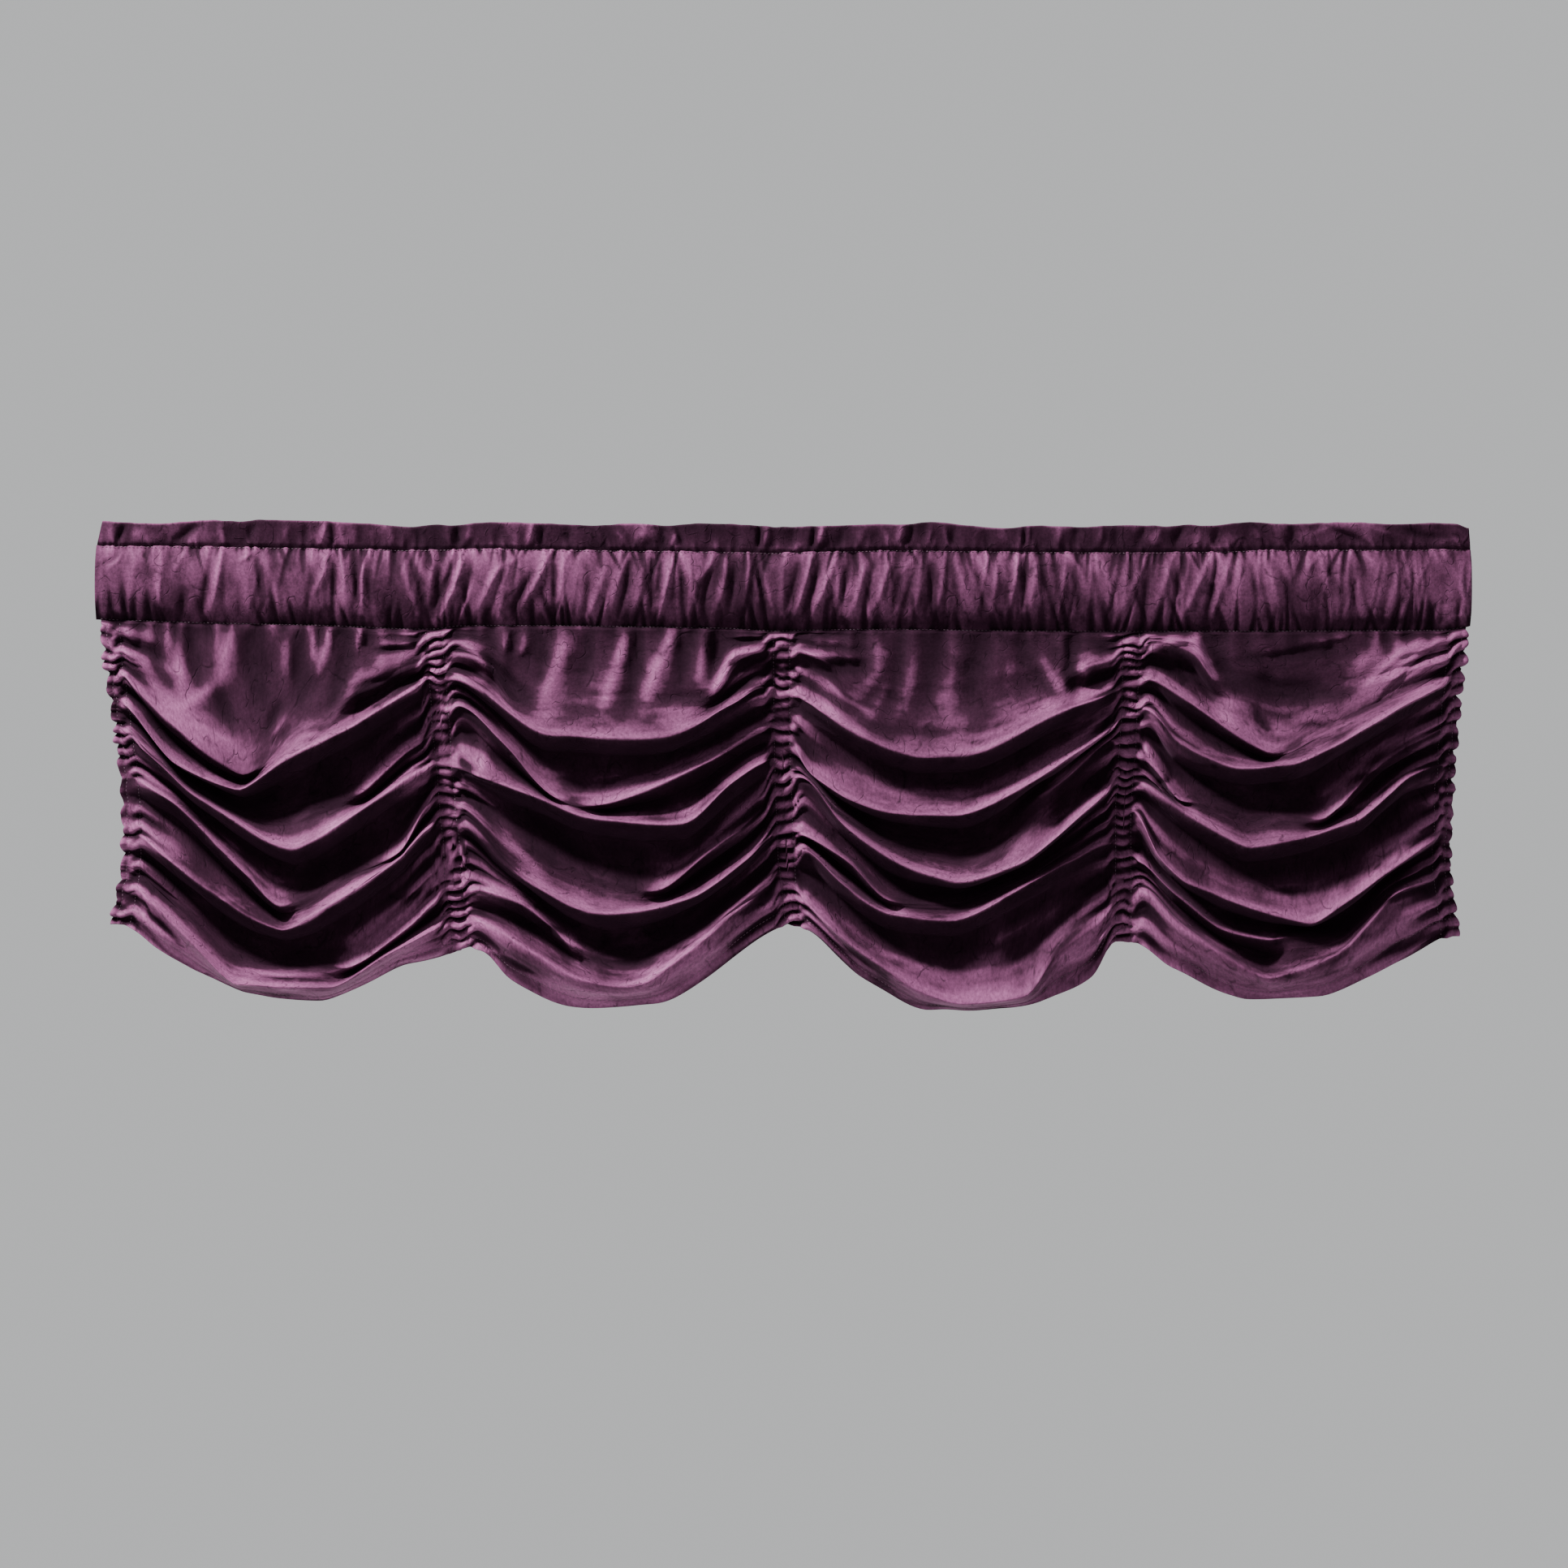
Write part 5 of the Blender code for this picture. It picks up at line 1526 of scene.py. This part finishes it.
# Pressed flower outlines, one flower to a cell, and curling stems between them. The
# lines are broken here and there.
def makeFlowerLines(tree, cloth, amount):
    link = tree.links.new
    warp = noiseNode(tree, -1200, -450, cloth, pile["warp"])
    warped = addNode(tree, "ShaderNodeVectorMath", -1020, -450, operation="MULTIPLY_ADD")
    warped.inputs[1].default_value = (pile["warpBy"], pile["warpBy"], 0.0)
    link(warp.outputs["Color"], warped.inputs[0])
    link(cloth, warped.inputs[2])
    cells = addNode(tree, "ShaderNodeTexVoronoi", -840, -350, voronoi_dimensions="2D")
    cells.inputs["Scale"].default_value = pile["flowersScale"]
    cells.inputs["Randomness"].default_value = pile["flowersLoose"]
    link(warped.outputs[0], cells.inputs["Vector"])
    fromHeart = addNode(tree, "ShaderNodeVectorMath", -640, -350, operation="SUBTRACT")
    link(warped.outputs[0], fromHeart.inputs[0])
    link(cells.outputs["Position"], fromHeart.inputs[1])
    split = addNode(tree, "ShaderNodeSeparateXYZ", -460, -350)
    link(fromHeart.outputs[0], split.inputs[0])
    length = addNode(tree, "ShaderNodeVectorMath", -460, -520, operation="LENGTH")
    link(fromHeart.outputs[0], length.inputs[0])
    angle = mathNode(tree, -280, -260, "ARCTAN2", split.outputs["Y"], split.outputs["X"])
    petals = mathNode(tree, -120, -260, "MULTIPLY", angle, 2.5)  # five petals
    petals = mathNode(tree, 20, -260, "COSINE", petals)
    petals = mathNode(tree, 160, -260, "ABSOLUTE", petals)
    stems = noiseNode(tree, -840, -800, warped.outputs[0], pile["stems"])
    stem = mathNode(tree, -640, -800, "SUBTRACT", stems.outputs["Fac"], 0.5)
    stem = mathNode(tree, -500, -800, "ABSOLUTE", stem)
    lines = mathNode(tree, -360, -800, "MULTIPLY_ADD", stem, -pile["stemThin"], 1.0, clamp=True)
    deep = pile["petalDeep"]
    for y, (size, wide) in zip((-420, -620), pile["outlines"]):
        edge = mathNode(tree, 160, y, "MULTIPLY_ADD", petals, size * deep, size * (1 - deep))
        gap = mathNode(tree, 320, y, "SUBTRACT", length.outputs["Value"], edge)
        gap = mathNode(tree, 460, y, "ABSOLUTE", gap)
        line = mathNode(tree, 600, y, "MULTIPLY_ADD", gap, -1.0 / wide, 1.0, clamp=True)
        lines = mathNode(tree, 740, y, "MAXIMUM", lines, line)
    broken = noiseNode(tree, -840, -1020, cloth, pile["broken"])
    broken = broken.outputs["Fac"]
    shown = mathNode(tree, -640, -1020, "MULTIPLY_ADD", broken, 6.0, -2.6, clamp=True)
    lines = mathNode(tree, 960, -800, "MULTIPLY", lines, shown)
    return mathNode(tree, 960, -960, "MULTIPLY", lines, amount)


# Velvet coloured from the painted light: painted shade in the hollows and a painted highlight on
# the crests, with random bruises and specks of the pile.
def makePileGroup():
    tree = bpy.data.node_groups.new("velvetPile", "ShaderNodeTree")
    sockets = {
        "INPUT": {
            "Cloth": "Vector",
            "Shade": "Color",
            "Painted Highlight": "Color",
            "Shadow Shade": "Color",
            "Crush": "Float",
            "Painted Light And Tone": "Float",
            "Flower Line": "Float",
        },
        "OUTPUT": {"Color": "Color", "Height": "Float", "Roughness": "Float"},
    }
    for side, kinds in sockets.items():
        for name, kind in kinds.items():
            tree.interface.new_socket(name, in_out=side, socket_type="NodeSocket" + kind)
    start = addNode(tree, "NodeGroupInput", -1400, 0)
    end = addNode(tree, "NodeGroupOutput", 1100, 0)
    link = tree.links.new
    cloth = start.outputs["Cloth"]
    bruise = noiseNode(tree, -1000, 400, cloth, pile["bruise"]).outputs["Fac"]
    grain = noiseNode(tree, -1000, 150, cloth, pile["grain"]).outputs["Fac"]
    lines = makeFlowerLines(tree, cloth, start.outputs["Flower Line"])

    # painted shadow colour to plain colour to painted highlight colour, as the painted light rises
    swing = mathNode(tree, -900, 420, "SUBTRACT", bruise, 0.5)
    swing = mathNode(tree, -820, 420, "MULTIPLY", swing, start.outputs["Crush"])
    paintedLightAndTone = mathNode(tree, -740, 420, "ADD", swing, start.outputs["Painted Light And Tone"])
    low = mathNode(tree, -720, 640, "MAXIMUM", paintedLightAndTone, 0.0)
    low = mathNode(tree, -700, 600, "POWER", low, 1.5)
    low = mathNode(tree, -660, 560, "MULTIPLY", low, 1.9, clamp=True)
    top = mathNode(tree, -660, 300, "MULTIPLY_ADD", paintedLightAndTone, 1.6, -0.65, clamp=True)
    shade = mixNode(tree, -520, 600, low, start.outputs["Shadow Shade"], start.outputs["Shade"])
    shade = mixNode(tree, -600, 420, top, shade, start.outputs["Painted Highlight"])

    # specks of the pile, and the pressed lines a little darker
    speck = mathNode(tree, -600, 120, "MULTIPLY_ADD", grain, 1.7, 0.15)
    dim = mathNode(tree, -440, 120, "MULTIPLY_ADD", lines, -pile["lineDim"], 1.0)
    speck = mathNode(tree, -280, 120, "MULTIPLY", speck, dim)
    paint = addNode(tree, "ShaderNodeVectorMath", -100, 300, operation="SCALE")
    link(shade, paint.inputs[0])
    link(speck, paint.inputs["Scale"])
    link(paint.outputs[0], end.inputs["Color"])
    height = mathNode(tree, -100, 60, "MULTIPLY", grain, 0.35)
    height = mathNode(tree, 80, 60, "MULTIPLY_ADD", bruise, 1.2, height)
    height = mathNode(tree, 240, 60, "MULTIPLY_ADD", lines, -pile["lineSunk"], height)
    link(height, end.inputs["Height"])
    rough = mathNode(tree, 80, -60, "MULTIPLY_ADD", paintedLightAndTone, -0.35, 1.05)
    rough = mathNode(tree, 240, -60, "MULTIPLY_ADD", bruise, -0.25, rough, clamp=True)
    link(rough, end.inputs["Roughness"])
    return tree


pileGroup = makePileGroup()
# shade is the velvet's plain colour, paintedHighlight the painted highlight on the crests, and
# deep the painted shadow in the hollows
plum = {
    "shade": (0.0284, 0.0083, 0.0200),
    "paintedHighlight": (0.1310, 0.0435, 0.0960),
    "deep": (0.0056, 0.0019, 0.0042),
    "crush": 0.8,
    "flowerLine": 1.0,
    "bump": 0.45,
    "bumpDeep": 0.0012,
    "gloss": 0.09,
    "sheen": 0.03,
    "sheenRoughness": 0.35,
    "sheenTint": (1.0, 0.45, 0.82),
}


def makeVelvet(name, values):
    material = bpy.data.materials.new(name)
    material.use_nodes = True
    tree = material.node_tree
    link = tree.links.new
    shader = tree.nodes["Principled BSDF"]
    velvet = addNode(tree, "ShaderNodeGroup", -650, 0)
    velvet.node_tree = pileGroup
    clothMap = addNode(tree, "ShaderNodeUVMap", -900, 0, uv_map="cloth")
    link(clothMap.outputs["UV"], velvet.inputs["Cloth"])
    paintedLightRead = addNode(tree, "ShaderNodeAttribute", -900, -220, attribute_name="paintedLightAndTone")
    link(paintedLightRead.outputs["Fac"], velvet.inputs["Painted Light And Tone"])
    velvet.inputs["Shade"].default_value = (*values["shade"], 1.0)
    velvet.inputs["Painted Highlight"].default_value = (*values["paintedHighlight"], 1.0)
    velvet.inputs["Shadow Shade"].default_value = (*values["deep"], 1.0)
    velvet.inputs["Crush"].default_value = values["crush"]
    velvet.inputs["Flower Line"].default_value = values["flowerLine"]
    bump = addNode(tree, "ShaderNodeBump", -350, -200)
    bump.inputs["Strength"].default_value = values["bump"]
    bump.inputs["Distance"].default_value = values["bumpDeep"]
    link(velvet.outputs["Height"], bump.inputs["Height"])
    link(velvet.outputs["Color"], shader.inputs["Base Color"])
    link(velvet.outputs["Roughness"], shader.inputs["Roughness"])
    link(bump.outputs["Normal"], shader.inputs["Normal"])
    shader.inputs["Specular IOR Level"].default_value = values["gloss"]
    shader.inputs["Specular Tint"].default_value = (*values["sheenTint"], 1.0)
    shader.inputs["Sheen Weight"].default_value = values["sheen"]
    shader.inputs["Sheen Roughness"].default_value = values["sheenRoughness"]
    shader.inputs["Sheen Tint"].default_value = (*values["sheenTint"], 1.0)
    return material


plumVelvet = makeVelvet("plumVelvet", plum)
for cloth in (swagCloth, pocketCloth, headingCloth):
    cloth.data.materials.append(plumVelvet)
print("velvet made")

thread = {
    "long": 0.0024,
    "gap": 0.0012,
    "radius": 0.00032,
    "flat": 0.8,
    "lift": 0.0001,
    "startsAt": 0.001,
    "firstRow": 3,
    "hemInset": 8,
    "edgeLines": (4, 13),
    "besideLine": 6,
    "fromSeam": 0.0012,
    "pocketReach": 0.634,
    "pocketStep": 0.002,
    "plainFront": -0.002,
    "roughness": 0.55,
    "mottleScale": 90.0,
    "darkest": (0.016, 0.005, 0.012),
    "palest": (0.075, 0.030, 0.056),
}


# The way each place on a cloth's rows and lines faces, turned to the front.
def outwardOf(points):
    acrossStep = np.gradient(points, axis=1)
    downStep = np.gradient(points, axis=0)
    normal = np.cross(downStep, acrossStep)
    normal /= np.maximum(np.linalg.norm(normal, axis=-1, keepdims=True), 1e-9)
    return normal * np.where(normal[..., 1].mean() > 0, -1.0, 1.0)


# Both ends of each stitch along a path, and the way it faces.
def stitchesAlong(path, outward):
    steps = np.linalg.norm(np.diff(path, axis=0), axis=1)
    along = np.concatenate([[0.0], np.cumsum(steps)])
    pitch = thread["long"] + thread["gap"]
    starts = np.arange(thread["startsAt"], along[-1] - thread["long"], pitch)

    def at(values, where):
        return np.stack([np.interp(where, along, values[:, i]) for i in range(3)], axis=1)

    ends = starts + thread["long"]
    return at(path, starts), at(path, ends), at(outward, (starts + ends) / 2)


# Each stitch is a small ball drawn out along its length.
def makeStitches(name, paths):
    bm = bmesh.new()
    bmesh.ops.create_uvsphere(bm, u_segments=5, v_segments=4, radius=1.0)
    template = np.array([(v.co.z, v.co.x, v.co.y) for v in bm.verts])
    faces = [[v.index for v in f.verts] for f in bm.faces]
    bm.free()
    stitches = zip(*(stitchesAlong(*path) for path in paths))
    first, second, outward = (np.concatenate(part) for part in stitches)
    along = second - first
    length = np.linalg.norm(along, axis=1, keepdims=True)
    axisX = along / np.maximum(length, 1e-6)
    axisZ = outward - axisX * (axisX * outward).sum(axis=1, keepdims=True)
    axisZ /= np.maximum(np.linalg.norm(axisZ, axis=1, keepdims=True), 1e-6)
    axisY = np.cross(axisZ, axisX)
    centre = (first + second) / 2 + axisZ * thread["lift"]
    points = (
        centre[:, None]
        + template[None, :, 0:1] * axisX[:, None] * (length[:, None] * 0.5)
        + template[None, :, 1:2] * axisY[:, None] * thread["radius"]
        + template[None, :, 2:3] * axisZ[:, None] * thread["radius"] * thread["flat"]
    )
    count = len(template)
    everyFace = [[i + n * count for i in face] for n in range(len(first)) for face in faces]
    mesh = bpy.data.meshes.new(name)
    mesh.from_pydata(points.reshape(-1, 3).tolist(), [], everyFace)
    mesh.shade_smooth()
    print(name, len(first), "stitches")
    return addToScene(name, mesh)


# Two rows of sewing beside each gathered line, and one along the hem.
def panelStitchPaths():
    outward = outwardOf(panelPoints)
    linesPerSwag = 2 * (sum(count for count, _ in panel["lineSteps"]) + panel["middleLines"])
    gathered = [len(sideTurns) + c * linesPerSwag for c in range(len(gatherLines))]
    lines = [gathered[0] + away for away in thread["edgeLines"]]
    for line in gathered[1:-1]:
        lines += [line - thread["besideLine"], line + thread["besideLine"]]
    lines += [gathered[-1] - away for away in reversed(thread["edgeLines"])]
    hemRow = len(panelPoints) - len(hemTurns) - 1
    shown = slice(thread["firstRow"], hemRow + 1)
    paths = [(panelPoints[shown, line], outward[shown, line]) for line in lines]
    up = panelV - panelV[hemRow]
    row, inset = int(np.argmin(np.abs(up - hem["seamUp"]))), thread["hemInset"]
    paths.append((panelPoints[row, inset:-inset], outward[row, inset:-inset]))
    return paths


# One row of sewing along each of the pocket's seams, on the front of its cloth.
def pocketStitchPaths():
    co = readPoints(pocketCloth.data)
    reach, step, fromSeam = thread["pocketReach"], thread["pocketStep"], thread["fromSeam"]
    xs = np.arange(-reach, reach, step)
    paths = []
    for seam, level, tilt in (
        ("top", -fromSeam, 0.5),
        ("foot", -pocket["height"] + fromSeam, -0.5),
    ):
        toSeam = co[:, 2] + seamDip(co[:, 0], seam) - level
        near = co[(np.abs(toSeam) < fromSeam) & (co[:, 1] < 0.0)]
        front = []
        for x in xs:
            close = near[np.abs(near[:, 0] - x) < step]
            front.append(close[:, 1].min() if len(close) else thread["plainFront"])
        path = np.stack([xs, np.array(front), level - seamDip(xs, seam)], axis=1)
        paths.append((path, np.tile(np.array([0.0, -1.0, tilt]), (len(path), 1))))
    return paths


def makeThread(name):
    material = bpy.data.materials.new(name)
    material.use_nodes = True
    tree = material.node_tree
    shader = tree.nodes["Principled BSDF"]
    shader.inputs["Roughness"].default_value = thread["roughness"]
    where = addNode(tree, "ShaderNodeTexCoord", -800, 0)
    mottle = noiseNode(tree, -600, 0, where.outputs["Object"], {"Scale": thread["mottleScale"]})
    ramp = addNode(tree, "ShaderNodeValToRGB", -350, 0)
    ends = ramp.color_ramp.elements
    for end, place, colour in zip(ends, (0.35, 0.65), (thread["darkest"], thread["palest"])):
        end.position = place
        end.color = (*colour, 1.0)
    tree.links.new(mottle.outputs["Fac"], ramp.inputs["Fac"])
    tree.links.new(ramp.outputs["Color"], shader.inputs["Base Color"])
    return material


panelThread = makeStitches("panel_stitches", panelStitchPaths())
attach(panelThread, "root")
pocketThread = makeStitches("pocket_stitches", pocketStitchPaths())
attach(pocketThread, "root")
plumThread = makeThread("thread")
for stitches in (panelThread, pocketThread):
    stitches.data.materials.append(plumThread)

# The camera looks level and square to the front.
view = {
    "distance": 5.0,
    "clothAt": 0.02,
    "roll": -0.27,
    "sensor": 36.0,
    "wide": 1932,
    "clipEnd": 50,
}


def placeCamera():
    middle = view["wide"] / 2
    camera = addToScene("camera", bpy.data.cameras.new("camera"))
    camera.location = (
        (middle - layout["middleX"]) * layout["step"],
        -view["distance"],
        (layout["topY"] - middle) * layout["step"],
    )
    camera.rotation_euler = (math.radians(90), math.radians(view["roll"]), 0)
    camera.data.sensor_width = view["sensor"]
    toCloth = view["distance"] - view["clothAt"]
    camera.data.lens = view["sensor"] * toCloth / (view["wide"] * layout["step"])
    camera.data.clip_end = view["clipEnd"]
    bpy.context.scene.camera = camera


keyLight = {
    "place": (-1.9, -1.05, 2.2),
    "target": (0.0, 0.0, -0.25),
    "size": 0.45,
    "power": 530,
    "colour": (1.0, 0.96, 0.98),
}
fillLight = {
    "place": (2.4, -3.2, 0.6),
    "target": (0.0, 0.0, -0.2),
    "size": 2.0,
    "power": 12,
    "colour": (0.95, 0.95, 1.0),
}


def addArea(name, values):
    light = bpy.data.lights.new(name, "AREA")
    light.size = values["size"]
    light.energy = values["power"]
    light.color = values["colour"]
    obj = addToScene(name, light)
    toTarget = Vector(values["target"]) - Vector(values["place"])
    obj.location = values["place"]
    obj.rotation_euler = toTarget.to_track_quat("-Z", "Y").to_euler()


room = {
    "sky": (0.80, 0.81, 0.82),
    "skyStrength": 0.72,
    "floor": (0.7, 0.7, 0.7),
    "floorRoughness": 0.8,
    "floorSize": 2.6,
    "floorZ": -1.6,
}


def makeSky():
    world = bpy.data.worlds.new("paleRoom")
    world.use_nodes = True
    sky = world.node_tree.nodes["Background"]
    sky.inputs["Color"].default_value = (*room["sky"], 1.0)
    sky.inputs["Strength"].default_value = room["skyStrength"]
    bpy.context.scene.world = world


def makeFloor():
    bm = bmesh.new()
    bmesh.ops.create_grid(bm, x_segments=1, y_segments=1, size=room["floorSize"])
    bmesh.ops.translate(bm, verts=bm.verts, vec=(0, 0, room["floorZ"]))
    mesh = meshFrom(bm, "floor")
    material = bpy.data.materials.new("paleFloor")
    material.use_nodes = True
    shader = material.node_tree.nodes["Principled BSDF"]
    shader.inputs["Base Color"].default_value = (*room["floor"], 1.0)
    shader.inputs["Roughness"].default_value = room["floorRoughness"]
    mesh.materials.append(material)
    return addToScene("floor", mesh)


placeCamera()
addArea("keyLight", keyLight)
addArea("fillLight", fillLight)
makeSky()
floor = makeFloor()
print("stage set")
